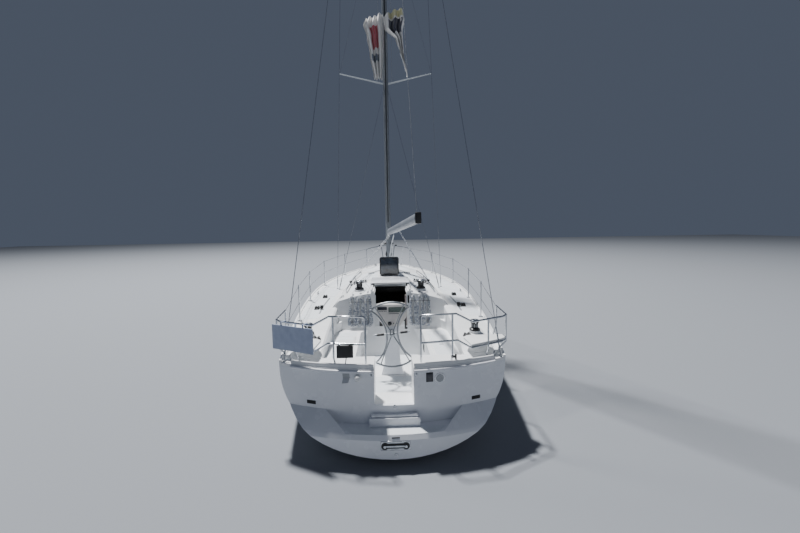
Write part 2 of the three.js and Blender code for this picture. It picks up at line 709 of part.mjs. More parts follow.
// Forestay with its roller furler: foil and drum turn together about the stay
const stayFoot = new THREE.Vector3(0, 4900, 1480);
const stayHead = new THREE.Vector3(0, mastY + mastHalf.y + 40, 14150);
const furler = new THREE.Group();
furler.position.copy(stayFoot);
furler.quaternion.setFromUnitVectors(new THREE.Vector3(0, 0, 1), stayHead.clone().sub(stayFoot).normalize());
yacht.add(furler);
const stayLength = stayHead.distanceTo(stayFoot);
const furled = { foot: 60, head: stayLength - 260, radius: 20, flange: 85, spool: 46 };
const drumTop = furled.foot + 112;
const drumProfile = [
  [0, furled.foot],
  [furled.flange, furled.foot],
  [furled.flange, furled.foot + 12],
  [furled.spool, furled.foot + 18],
  [furled.spool, furled.foot + 90],
  [furled.flange, furled.foot + 96],
  [furled.flange, drumTop],
  [0, drumTop],
];
const foilFoot = drumTop + seam;
const foilProfile = [[0, foilFoot], [furled.radius, foilFoot], [furled.radius, furled.head], [0, furled.head]];
place("furler", drum(drumProfile, 0, 0, 0, 14), anodised, furler);
place("furler_foil", drum(foilProfile, 0, 0, 0, 14), anodised, furler);
function alongStay(distance) {
  return stayFoot.clone().lerp(stayHead, distance / stayLength).toArray();
}
const stemPlate = box(-45, 45, 4740, 5160, 1349, 1357).add(box(-6, 6, 4840, 4960, 1355, 1500));
place("stemhead", stemPlate.add(rod([alongStay(0), alongStay(furled.foot - seam)], 7)), stainless);
const mastFore = mastY + mastHalf.y;
const stayTang = box(-8, 8, mastFore + seam, mastFore + 46, 14120, 14180);
const headPin = rod([alongStay(furled.head + seam), alongStay(stayLength)], 6);
place("forestay_head", stayTang.add(headPin), stainless);

// Boom, swung a little to starboard and rising aft, with its rigid vang and sheet
const gooseneck = { y: mastY - mastHalf.y - 52, z: 2500, tang: 40 };
const boomSwing = THREE.MathUtils.degToRad(5.8);
const boomRise = THREE.MathUtils.degToRad(4);
const boomLength = 4100;
const boomGroup = new THREE.Group();
boomGroup.position.set(0, gooseneck.y, gooseneck.z);
boomGroup.rotation.z = boomSwing;
yacht.add(boomGroup);
function tilted(geometry) {
  return solid(geometry.rotateX(-boomRise));
}
const boomStart = 60;
const boomSection = extrudeOutline(ellipse(48, 82, 16), boomLength - boomStart).rotateX(Math.PI / 2);
const boomTube = tilted(boomSection.translate(0, -boomStart, 0));
const boomTang = box(-10, 10, -80, 22, -gooseneck.tang, gooseneck.tang);
place("boom", boomTube.add(boomTang), paintedAlloy, boomGroup);
const boomCap = new THREE.BoxGeometry(88, 60, 168).translate(0, -boomLength - 30 - seam, 0);
place("boom_end", tilted(boomCap), blackPlastic, boomGroup);
const vangSeatZ = 1700;
const vangFoot = vangSeatZ + seam - gooseneck.z;
const vangBend = [0, -690, -250];
const vangHead = { y: -1090, half: 9 };
vangHead.z = heightsAt(boomTube, 0, vangHead.y, vangHead.half).low - seam;
const vangBody = rod([[0, 0, vangFoot], [0, 0, vangFoot + 40], vangBend], 22)
  .add(rod([vangBend, [0, vangHead.y, vangHead.z - 30]], 14))
  .add(box(-vangHead.half, vangHead.half, vangHead.y - 9, vangHead.y + 9, vangHead.z - 40, vangHead.z));
place("vang", vangBody, anodised, boomGroup);
const mastAft = mastY - mastHalf.y - seam;
let gooseneckBody = box(-30, 30, mastAft - 10, mastAft, gooseneck.z - 90, gooseneck.z + 90);
for (const [under, over] of [[gooseneck.tang + seam, 54], [-54, -gooseneck.tang - seam]]) {
  const ear = box(-16, 16, gooseneck.y - 16, mastAft - 4, gooseneck.z + under, gooseneck.z + over);
  gooseneckBody = gooseneckBody.add(ear);
}
place("gooseneck", gooseneckBody, stainless);
place("vang_foot", box(-24, 24, gooseneck.y - 26, mastAft, vangSeatZ - 28, vangSeatZ), stainless);

// Pushpit halves: rails as x, y and z, and a flat seat set in the corner of each
const railZ = { inner: 1625, outer: 1505 };
const topRail = [
  [330, -4720, restOn(cockpitBody, 330, -4720, 14)],
  [330, -4720, railZ.inner - 20],
  [350, -4718, railZ.inner],
  [760, -4660, railZ.inner],
  [970, -4590, railZ.outer],
  [1420, -4340, railZ.outer],
  [1490, -4240, railZ.outer],
  [1500, -3700, railZ.outer + 10],
];
const midRailZ = { inner: 1292, outer: 1180 };
const midRail = [
  [330, -4720, midRailZ.inner],
  [780, -4655, midRailZ.inner + 5],
  [960, -4592, midRailZ.outer],
  [1400, -4350, midRailZ.outer],
  [1478, -4240, midRailZ.outer],
];
const pushpitPosts = [
  { x: 714, y: -4668, top: railZ.inner, bend: 1120, foot: 703 },
  { x: 1200, y: -4462, top: railZ.outer, bend: 1120, foot: 1182 },
  { x: 1484, y: -4250, top: railZ.outer, bend: 1155, foot: 1394 },
  { x: 1500, y: -3712, top: railZ.outer + 10, bend: 1265, foot: 1454 },
];
const railSeatPlan = [[962, -4590], [1398, -4350], [1462, -4290], [1462, -4150], [1000, -4150], [930, -4230]];
const railSeatZ = midRailZ.outer + railFlat + seam * 1.5;
for (const { side, sign } of sides) {
  const flip = (points) => points.map(([x, ...rest]) => [sign * x, ...rest]);
  let pushpit = rod(flip(topRail), railRadius).add(rod(flip(midRail), railRadius));
  for (const { x, y, top, bend, foot } of pushpitPosts) {
    const footZ = restOn(cockpitBody, foot, y, 14);
    const route = [[x, y, top], [x, y, bend], [foot, y, footZ + 30], [foot, y, footZ]];
    pushpit = pushpit.add(rod(flip(route), railRadius));
  }
  place(`pushpit_${side}`, pushpit, stainless);
  const through = pushpitPosts[1];
  const postRoute = [[through.x, through.y, through.top], [through.x, through.y, through.bend]];
  const postHole = rod(flip(postRoute), railRadius + 3);
  const railSeat = planPrism(flip(railSeatPlan), railSeatZ, railSeatZ + 28).subtract(postHole);
  place(`rail_seat_${side}`, railSeat, whiteBoard);
}

// Stanchions with their lifelines
const stanchionPlaces = [-2500, -900, 900, 2500];
for (const { side, sign } of sides) {
  let rail = null;
  const feet = stanchionPlaces.map((y) => {
    const row = tableAt(stations, y);
    return [sign * (row.beam - 85), y, restOn(deckBody, sign * (row.beam - 85), y, 36)];
  });
  for (const [x, y, z] of feet) {
    const base = box(x - 35, x + 35, y - 35, y + 35, z, z + 8);
    const post = rod([[x, y, z + 2], [x, y, z + 620]], railRadius).add(base);
    rail = rail ? rail.add(post) : post;
  }
  for (const [height, startZ, endZ] of [[600, railZ.outer + 8, 1905], [320, 1290, 1640]]) {
    const holes = feet.map(([x, y, z]) => [x, y, z + height]);
    const wire = [[sign * 1500, -3680, startZ], ...holes, [sign * 715, 3830, endZ]];
    rail = rail.add(rod(wire, 4, 6));
  }
  place(`lifelines_${side}`, rail, stainless);
}

// Pulpit
const pulpitTop = [[700, 3850, 1905], [520, 4350, 1925], [230, 4980, 1945], [0, 5080, 1950]];
const pulpitPosts = [
  [700, 3850, 1905, 690, 3860],
  [520, 4350, 1925, 430, 4420],
  [230, 4980, 1945, 150, 4860],
];
const mirrored = pulpitTop.slice(0, -1).reverse().map(([x, y, z]) => [-x, y, z]);
let pulpit = rod([...pulpitTop, ...mirrored], railRadius);
for (const { sign } of sides) {
  for (const [railX, railY, railZ, footX, footY] of pulpitPosts) {
    const footZ = restOn(deckBody, sign * footX, footY, 14);
    const foot = [sign * footX, footY, footZ];
    pulpit = pulpit.add(rod([[sign * railX, railY, railZ], [foot[0], footY, footZ + 30], foot], railRadius));
  }
}
place("pulpit", pulpit, stainless);

// Handrails on the coachroof
for (const { side, sign } of sides) {
  const feet = placesBetween(-1900, 700, 3).map((y) => {
    const x = sign * tableAt(roofStations, y).shoulder * 0.9;
    return [x, y, restOn(deckBody, x, y, 9)];
  });
  let rail = rod(feet.map(([x, y, z]) => [x, y, z + 62]), 11, 8);
  for (const [x, y, z] of feet) rail = rail.add(rod([[x, y, z], [x, y, z + 62]], 9, 8));
  place(`handrail_${side}`, rail, stainless);
}

// Winches: each a drum that turns on a pad
const winches = [
  { name: "primary", at: sternWinch, width: 1.25, height: 1.0 },
  { name: "coachroof", at: roofWinch, width: 1.35, height: 1.1 },
];
for (const { name, at, width, height } of winches) {
  for (const { side, sign } of sides) {
    const outline = [[0, 0], [62, 0], [62, 22], [42, 40], [38, 90], [52, 118], [52, 134], [0, 138]];
    const scaled = outline.map(([r, h]) => [r * width, h * height]);
    place(`winch_${name}_${side}`, drum(scaled, sign * at.x, at.y, at.z + seam, 16), blackPlastic);
  }
}

// Steering pedestal, instrument pod and folding wheel
const hub = { y: -3840, z: 1183 };
const pedestalTop = 1250;
// A level rectangle, across and fore and aft, for a loft
function level(half, aft, fore, z) {
  return [[-half, aft, z], [half, aft, z], [half, fore, z], [-half, fore, z]];
}
const pedestal = loft([
  level(165, -3760, -3430, soleZ + seam),
  level(115, -3720, -3480, soleZ + 160),
  level(100, -3720, -3500, 1120),
  level(110, -3730, -3500, pedestalTop),
]);
place("pedestal", pedestal, gelcoat);
const pod = loft([
  level(112, -3730, -3540, pedestalTop + seam),
  level(215, -3700, -3520, 1385),
  level(230, -3650, -3490, 1520),
  level(150, -3630, -3500, 1560),
]);
place("instrument_pod", pod, greyPlastic);

// Folding wheel
const wheelRadius = 455;
const chordHalf = 265;
const chordHeight = Math.sqrt(wheelRadius ** 2 - chordHalf ** 2);
const wheelTurn = THREE.MathUtils.degToRad(-5);
const rimPlane = -75;
const rimTube = 13;
const wheelGroup = new THREE.Group();
wheelGroup.position.set(0, hub.y, hub.z);
wheelGroup.rotation.y = wheelTurn;
yacht.add(wheelGroup);
function rimArc(fromAngle, toAngle, steps) {
  const turns = placesBetween(fromAngle, toAngle, steps);
  return turns.map((turn) => [wheelRadius * Math.sin(turn), rimPlane, wheelRadius * Math.cos(turn)]);
}
const cornerAngle = Math.asin(chordHalf / wheelRadius);
const lug = { height: chordHeight + 7, radius: 8 };
const hubRadius = 34;
let wheel = rod([[0, -60, 0], [0, 112, 0]], hubRadius, 12);
for (const up of [0, Math.PI]) {
  wheel = wheel.add(bentTube(rimArc(up - cornerAngle + 0.03, up + cornerAngle - 0.03, 6), rimTube, 10));
  for (const { sign } of sides) {
    const [x, y, z] = rimArc(up + sign * (cornerAngle - 0.16), up, 1)[0];
    wheel = wheel.add(rod([[0, -20, 0], [x * 0.86, -36, z * 0.86], [x, y, z]], 8, 8));
    const lugZ = Math.cos(up) * lug.height;
    const lugEnds = [[sign * (chordHalf - 14), rimPlane, lugZ], [sign * (chordHalf + 4), rimPlane, lugZ]];
    wheel = wheel.add(rod(lugEnds, lug.radius));
  }
}
wheel = wheel.add(rod([[-250, -8, 0], [250, -8, 0]], 8, 8));
for (const { sign } of sides) {
  const [a, b] = [sign * 118, sign * 232];
  wheel = wheel.add(rod([[a, -8, 0], [b, -8, 0]], 15, 10));
}
place("wheel", wheel, stainless, wheelGroup);
for (const { side, sign } of sides) {
  const arc = rimArc(sign * (cornerAngle + 0.06), sign * (Math.PI - cornerAngle - 0.06), 8);
  const folded = arc.map(([x, y, z]) => [2 * sign * chordHalf - x, y, z]);
  let rim = bentTube(folded, rimTube - 1, 14);
  for (const [x, y, z] of [folded[0], folded[folded.length - 1]]) {
    const pinEnd = Math.sign(z) * (lug.height - lug.radius * Math.cos(Math.PI / 8) - seam);
    rim = rim.add(rod([[x, y, z], [sign * chordHalf, y, z]], 7, 8));
    rim = rim.add(rod([[sign * chordHalf, y, z - Math.sign(z) * 4], [sign * chordHalf, y, pinEnd]], 6, 8));
  }
  place(`wheel_rim_${side}`, rim, stainless, wheelGroup);
}

// Board hung on the port pushpit and the outboard engine bracket beside it
const boardSize = { half: 318, thick: 12, low: 1175, high: 1485, away: 74 };
const hookZ = railZ.outer + railFlat + seam;
let board = box(-boardSize.half, boardSize.half, -boardSize.thick, 0, boardSize.low, boardSize.high);
for (const x of [-170, 170]) {
  board = board
    .add(box(x - 10, x + 10, -4, boardSize.away, hookZ, hookZ + 10))
    .add(box(x - 10, x + 10, -10, -4, boardSize.high - 20, hookZ + 10));
}
const boardPlace = geometryOf(board).translate(0, -boardSize.away, 0);
boardPlace.rotateZ(-Math.atan2(4590 - 4340, 1420 - 970)).translate(-1189, -4468, 0);
place("notice_board", solid(boardPlace), whiteBoard);
const padY = { aft: -4752, fore: -4718 };
const [pointA, pointB] = midRail;
const railSlope = (pointB[1] - pointA[1]) / (pointB[0] - pointA[0]);
const arm = { half: 8, thick: 14 };
let bracket = box(-670, -476, padY.aft, padY.fore, 1142, 1292);
for (const x of [-640, -515]) {
  const railAft = pointA[1] + railSlope * (-x - pointA[0] - arm.half) - railFlat * 1.01 - seam;
  bracket = bracket
    .add(box(x - arm.half, x + arm.half, padY.aft, padY.aft + arm.thick, 1240, midRailZ.inner + arm.thick))
    .add(box(x - arm.half, x + arm.half, padY.aft, railAft, midRailZ.inner - 6, midRailZ.inner + arm.thick));
}
place("outboard_bracket", bracket, blackPlastic);

// Coils of line hung on the bulkhead, and the flags hoisted beside the mast
function hank(sign) {
  const outline = new THREE.Shape();
  const [topHalf, footHalf, top, foot] = [120, 190, 1475, 990];
  outline.moveTo(-topHalf, top - 40);
  outline.lineTo(-footHalf, foot + 90);
  outline.quadraticCurveTo(-footHalf, foot, -footHalf + 90, foot);
  outline.lineTo(footHalf - 90, foot);
  outline.quadraticCurveTo(footHalf, foot, footHalf, foot + 90);
  outline.lineTo(topHalf, top - 40);
  outline.quadraticCurveTo(topHalf, top, topHalf - 40, top);
  outline.lineTo(-topHalf + 40, top);
  outline.quadraticCurveTo(-topHalf, top, -topHalf, top - 40);
  const lean = Math.atan2(bulkheadHead.y - bulkheadFoot.y, bulkheadHead.z - bulkheadFoot.z);
  const geometry = extrudeOutline(outline, 80, 3).rotateX(Math.PI / 2).translate(0, 0, -bulkheadFoot.z);
  geometry.rotateX(-lean).translate(sign * 500, bulkheadFoot.y - seam * 1.1, bulkheadFoot.z);
  return geometry;
}
for (const { side, sign } of sides) {
  place(`rope_hank_${side}`, solid(hank(sign)), rope);
}

const flagY = mastY - mastHalf.y - 60;
const flagOutlines = {
  port: [
    [-430, 7640],
    [-60, 7720],
    [-60, 7000],
    [-80, 6080],
    [-260, 6090],
    [-350, 6700],
    [-390, 7200],
    [-500, 7300],
  ],
  starboard: [
    [60, 7720],
    [360, 7830],
    [500, 7780],
    [430, 7560],
    [460, 6800],
    [520, 6180],
    [350, 6580],
    [300, 6950],
    [100, 7200],
    [60, 7250],
  ],
};
const halyardX = 150;
for (const { side, sign } of sides) {
  const spreader = yacht.getObjectByName(`spreader_upper_${side}`).geometry;
  const spreaderY = spreaderRootY - high.sweep * (halyardX / high.half);
  const halyardTop = heightsAt(solid(spreader), sign * halyardX, spreaderY, 2).low - seam;
  const halyard = rod([[sign * halyardX, flagY, 7650], [sign * halyardX, spreaderY, halyardTop]], 4, 6);
  place(`flag_${side}`, frontPrism(flagOutlines[side], flagY - 12, flagY + 12).add(halyard), flagCloth);
}

export default yacht;
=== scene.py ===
# Sailing yacht of 10.3 m, afloat with its sails off: finishes, cloth, cordage and deck gear
import json
import math

import bmesh
import bpy
from mathutils import Matrix, Vector
from mathutils.bvhtree import BVHTree


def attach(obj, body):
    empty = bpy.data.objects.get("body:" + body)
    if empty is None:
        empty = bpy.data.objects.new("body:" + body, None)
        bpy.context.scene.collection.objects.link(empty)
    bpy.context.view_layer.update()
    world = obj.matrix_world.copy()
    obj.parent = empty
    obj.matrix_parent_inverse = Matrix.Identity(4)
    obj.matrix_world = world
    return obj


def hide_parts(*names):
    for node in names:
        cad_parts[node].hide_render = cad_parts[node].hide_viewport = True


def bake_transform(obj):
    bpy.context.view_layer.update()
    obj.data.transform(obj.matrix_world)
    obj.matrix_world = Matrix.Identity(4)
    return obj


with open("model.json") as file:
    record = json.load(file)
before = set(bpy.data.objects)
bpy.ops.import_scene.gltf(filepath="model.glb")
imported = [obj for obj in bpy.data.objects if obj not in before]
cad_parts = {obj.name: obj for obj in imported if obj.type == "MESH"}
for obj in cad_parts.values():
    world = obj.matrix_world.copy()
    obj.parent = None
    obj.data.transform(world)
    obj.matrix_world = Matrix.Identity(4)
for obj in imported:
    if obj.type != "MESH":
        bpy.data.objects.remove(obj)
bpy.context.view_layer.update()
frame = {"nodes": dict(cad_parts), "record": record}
print("frame loaded")

sides = {"port": -1, "starboard": 1}  # X sign of each side
skyward = (0, 0, 1)


def addToScene(name, data):
    obj = bpy.data.objects.new(name, data)
    bpy.context.scene.collection.objects.link(obj)
    return obj


def turned(degrees, axis):
    return Matrix.Rotation(math.radians(degrees), 4, axis)


# Camera: at eye height astern, looking over the stern at the cabin
cameraView = {
    "place": (-0.064, -9.49, 2.706), "pitchDown": 5.91, "yaw": 1.9, "roll": 0.89,
    "lens": 18.56, "sensor": 36, "reach": 200,
}


def makeCamera(view):
    data = bpy.data.cameras.new("camera")
    data.sensor_width = view["sensor"]
    data.lens = view["lens"]
    data.clip_end = view["reach"]
    cam = addToScene("camera", data)
    heading, tilt = turned(-view["yaw"], "Z"), turned(90 - view["pitchDown"], "X")
    cam.matrix_world = Matrix.Translation(view["place"]) @ heading @ tilt @ turned(-view["roll"], "Z")
    bpy.context.scene.camera = cam


makeCamera(cameraView)


# Materials
def linearColour(hexText):
    channels = [int(hexText[i:i + 2], 16) / 255 for i in (1, 3, 5)]
    linear = [c / 12.92 if c <= 0.04045 else ((c + 0.055) / 1.055) ** 2.4 for c in channels]
    return (*linear, 1.0)


# a Mix node mixes colours 6 and 7 by its share 0, and MapRange takes the middle of a soft pattern
usualSettings = {"Mix": {"data_type": "RGBA"}, "MapRange": {"From Min": 0.3, "From Max": 0.7}}
mainOutput = {"ShaderNodeMix": 2}


def addNode(tree, kind, feeds=None):  # settings and values; a node or a socket as value is linked
    node = tree.nodes.new("ShaderNode" + kind)
    for key, value in {**usualSettings.get(kind, {}), **(feeds or {})}.items():
        if isinstance(value, bpy.types.Node):
            value = value.outputs[mainOutput.get(value.bl_idname, 0)]
        if isinstance(value, bpy.types.NodeSocket):
            tree.links.new(value, node.inputs[key])
        elif isinstance(key, int) or key in node.inputs:
            node.inputs[key].default_value = linearColour(value) if isinstance(value, str) else value
        else:
            setattr(node, key, value)
    return node


def startMaterial(name):
    material = bpy.data.materials.new(name)
    material.use_nodes = True
    tree = material.node_tree
    tree.nodes.clear()
    return material, tree, addNode(tree, "TexCoord").outputs["Object"]


def finishMaterial(material, feeds):
    shader = addNode(material.node_tree, "BsdfPrincipled", feeds)
    addNode(material.node_tree, "OutputMaterial", {"Surface": shader})
    return material


def clouds(tree, place, size, detail=3, reach=None, stretch=(1, 1, 1)):  # soft pattern, its size in mm
    mapped = addNode(tree, "Mapping", {"Scale": stretch, "Vector": place})
    grain = {"Scale": 1000 / size, "Detail": detail, "Roughness": 0.6, "Vector": mapped}
    pattern = addNode(tree, "TexNoise", grain)
    if reach is None:
        return pattern
    return addNode(tree, "MapRange", {"To Min": reach[0], "To Max": reach[1], "Value": pattern})


# cloud: size and detail of the colour's clouds; rough: size, detail and range of the roughness;
# grain: size and detail of the relief; relief: its height in mm and its strength
def mottled(name, dark, light, cloud, rough, grain, relief, shine=None, share=(0, 1)):
    material, tree, place = startMaterial(name)
    amount = clouds(tree, place, *cloud, share)
    height = clouds(tree, place, *grain)
    bump = {"Distance": relief[0] / 1000, "Strength": relief[1], "Height": height}
    return finishMaterial(material, {
        "Base Color": addNode(tree, "Mix", {0: amount, 6: dark, 7: light}),
        "Roughness": clouds(tree, place, *rough),
        "Normal": addNode(tree, "Bump", bump),
        **(shine or {}),
    })


# Polished moulded gelcoat: a deep wet gloss over a faint long ripple, dull paint below the water
hullPaint = {"white": "#eef0f4", "shade": "#e3e6ec", "under": "#3d4854", "top": 0.029, "uneven": 0.012}


def hullGelcoat(k):
    material, tree, place = startMaterial("polishedGelcoat")
    shade = clouds(tree, place, 700, 3, (0, 1))
    white = addNode(tree, "Mix", {0: shade, 6: k["shade"], 7: k["white"]})
    height = addNode(tree, "SeparateXYZ", {"Vector": place}).outputs["Z"]
    wander = addNode(tree, "Math", {"operation": "MULTIPLY", 0: clouds(tree, place, 90), 1: k["uneven"]})
    edge = addNode(tree, "Math", {"operation": "ADD", 0: wander, 1: k["top"]})
    above = addNode(tree, "Math", {"operation": "GREATER_THAN", 0: height, 1: edge})
    ripple = clouds(tree, place, 220, 1)
    return finishMaterial(material, {
        "Base Color": addNode(tree, "Mix", {0: above, 6: k["under"], 7: white}),
        "Roughness": clouds(tree, place, 160, 3, (0.2, 0.3)),
        "Normal": addNode(tree, "Bump", {"Distance": 0.0012, "Strength": 0.35, "Height": ripple}),
        "IOR": 1.5, "Coat Weight": 0.35, "Coat Roughness": 0.06,
    })


# Moulded non-skid: rows of small diamonds, drawn 14 mm apart so that they show
nonSkidLook = {"pitch": 0.014, "clean": "#d3d8dd", "soiled": "#bcc3ca", "worn": "#e4e8eb"}


def diamondNonSkid(k):
    material, tree, place = startMaterial("diamondNonSkid")
    slanted = addNode(tree, "Mapping", {"Rotation": (0, 0, math.radians(45)), "Vector": place})
    parts = addNode(tree, "SeparateXYZ", {"Vector": slanted})
    waves = []
    for axis in ("X", "Y"):
        phase = {"operation": "MULTIPLY", 0: parts.outputs[axis], 1: math.pi / k["pitch"]}
        wave = addNode(tree, "Math", {"operation": "SINE", 0: addNode(tree, "Math", phase)})
        waves.append(addNode(tree, "Math", {"operation": "ABSOLUTE", 0: wave}))
    diamond = addNode(tree, "Math", {"operation": "MINIMUM", 0: waves[0], 1: waves[1]})
    grime = clouds(tree, place, 240, 5, (0.0, 0.7))
    low = addNode(tree, "Mix", {0: grime, 6: k["clean"], 7: k["soiled"]})
    return finishMaterial(material, {
        "Base Color": addNode(tree, "Mix", {0: diamond, 6: low, 7: k["worn"]}),
        "Roughness": addNode(tree, "MapRange", {"To Min": 0.7, "To Max": 0.5, "Value": diamond}),
        "Normal": addNode(tree, "Bump", {"Distance": 0.001, "Strength": 0.7, "Height": diamond}),
        "IOR": 1.5,
    })


# Tinted cast acrylic: near black with a hard clear gloss and light wiping haze
def smokedAcrylic(name, dark, light):
    material, tree, place = startMaterial(name)
    haze = clouds(tree, place, 130, 4, (0, 1), (1, 2.2, 1))
    return finishMaterial(material, {
        "Base Color": addNode(tree, "Mix", {0: haze, 6: dark, 7: light}),
        "Roughness": addNode(tree, "MapRange", {"To Min": 0.05, "To Max": 0.14, "Value": haze}),
        "IOR": 1.49, "Coat Weight": 0.5, "Coat Roughness": 0.03,
    })


# Polished stainless tube: bright, with fine polishing lines and water marks
def stainless(name, dark, light, rough):
    dull = (35, 4, (rough, rough + 0.16))
    return mottled(name, dark, light, (70, 5), dull, (3, 2), (0.03, 0.5), {"Metallic": 1.0})


# Injection moulded plastics: a low sheen and a fine spark-eroded grain
def mouldedPlastic(name, dark, light, rough):
    dull = (25, 4, (rough - 0.08, rough + 0.08))
    return mottled(name, dark, light, (90, 5), dull, (1.6, 2), (0.06, 0.6), {"IOR": 1.5})


# Clear anodised extrusion: satin grey metal with long draw lines along the spar
def anodised(name, alongAxis):
    material, tree, place = startMaterial(name)
    stretch = [1.0, 1.0, 1.0]
    stretch[alongAxis] = 0.02
    lines = clouds(tree, place, 9, 3, (0, 1), stretch)
    cloud = clouds(tree, place, 500, 4, (0, 1))
    grey = addNode(tree, "Mix", {0: cloud, 6: "#8d9297", 7: "#a4a9ad"})
    faint = addNode(tree, "Math", {"operation": "MULTIPLY", 0: lines, 1: 0.35})
    return finishMaterial(material, {
        "Base Color": addNode(tree, "Mix", {0: faint, 6: grey, 7: "#b9bdc1"}),
        "Roughness": addNode(tree, "MapRange", {"To Min": 0.34, "To Max": 0.46, "Value": lines}),
        "Normal": addNode(tree, "Bump", {"Distance": 0.00005, "Strength": 0.5, "Height": lines}),
        "Metallic": 0.85,
    })


# Liquid crystal panel behind a clear window: grey green with faint rows of cells
def displayGlass(name, dark, light):
    material, tree, place = startMaterial(name)
    cells = addNode(tree, "TexVoronoi", {"Scale": 1000 / 9, "distance": "CHEBYCHEV", "Vector": place})
    shade = addNode(tree, "MapRange", {"To Min": 0, "To Max": 1, "Value": cells})
    return finishMaterial(material, {
        "Base Color": addNode(tree, "Mix", {0: shade, 6: dark, 7: light}),
        "IOR": 1.5, "Coat Weight": 0.8, "Coat Roughness": 0.04, "Roughness": 0.3,
    })


# Braided polyester line: pale strands flecked with a darker tracer, drawn 25 mm long so that it shows
def braidedRope(name, pale, fleck):
    material, tree, place = startMaterial(name)
    plait = addNode(tree, "TexVoronoi", {"Scale": 1000 / 5, "Vector": place})
    soil = clouds(tree, place, 80, 4, (0.15, 0.55))
    marks = addNode(tree, "Math", {"operation": "GREATER_THAN", 0: clouds(tree, place, 25, 2), 1: 0.5})
    tracer = addNode(tree, "Math", {"operation": "MULTIPLY", 0: marks, 1: 0.85})
    base = addNode(tree, "Mix", {0: soil, 6: pale, 7: "#8b9098"})
    return finishMaterial(material, {
        "Base Color": addNode(tree, "Mix", {0: tracer, 6: base, 7: fleck}),
        "Normal": addNode(tree, "Bump", {"Distance": 0.0008, "Strength": 0.7, "Height": plait}),
        "Sheen Weight": 0.3, "Sheen Roughness": 0.5, "Roughness": 0.85,
    })


# Knitted flag polyester: white cloth with dyed shapes that follow the cloth's own map
def flagCloth(name, shapes):
    material, tree, place = startMaterial(name)
    ownMap = addNode(tree, "UVMap", {"uv_map": "cloth"})
    parts = addNode(tree, "SeparateXYZ", {"Vector": ownMap})
    white = clouds(tree, place, 160, 4, (0, 1))
    colour = addNode(tree, "Mix", {0: white, 6: "#d9d7d4", 7: "#efedea"})
    for shape in shapes:
        inside = 1.0
        for axis, (low, high) in (("X", shape["across"]), ("Y", shape["down"])):
            for test, limit in (("GREATER_THAN", low), ("LESS_THAN", high)):
                one = addNode(tree, "Math", {"operation": test, 0: parts.outputs[axis], 1: limit})
                inside = addNode(tree, "Math", {"operation": "MULTIPLY", 0: inside, 1: one})
        colour = addNode(tree, "Mix", {0: inside, 6: colour, 7: shape["colour"]})
    # the knit is drawn coarse, about 19 mm apart, so that it shows
    weave = addNode(tree, "TexWave", {"Scale": 1000 / 60, "Distortion": 0.5, "Vector": place})
    height = weave.outputs["Fac"]
    return finishMaterial(material, {
        "Base Color": colour,
        "Normal": addNode(tree, "Bump", {"Distance": 0.0002, "Strength": 0.4, "Height": height}),
        "Sheen Weight": 0.4, "Sheen Roughness": 0.6, "Roughness": 0.85,
    })


# Oiled teak steps: straight dark grain along the board
def teak(name, dark, light):
    material, tree, place = startMaterial(name)
    grain = clouds(tree, place, 7, 5, (0, 1), (0.06, 1, 1))
    return finishMaterial(material, {
        "Base Color": addNode(tree, "Mix", {0: grain, 6: dark, 7: light}),
        "Roughness": addNode(tree, "MapRange", {"To Min": 0.45, "To Max": 0.6, "Value": grain}),
        "Normal": addNode(tree, "Bump", {"Distance": 0.0002, "Strength": 0.5, "Height": grain}),
        "IOR": 1.5,
    })


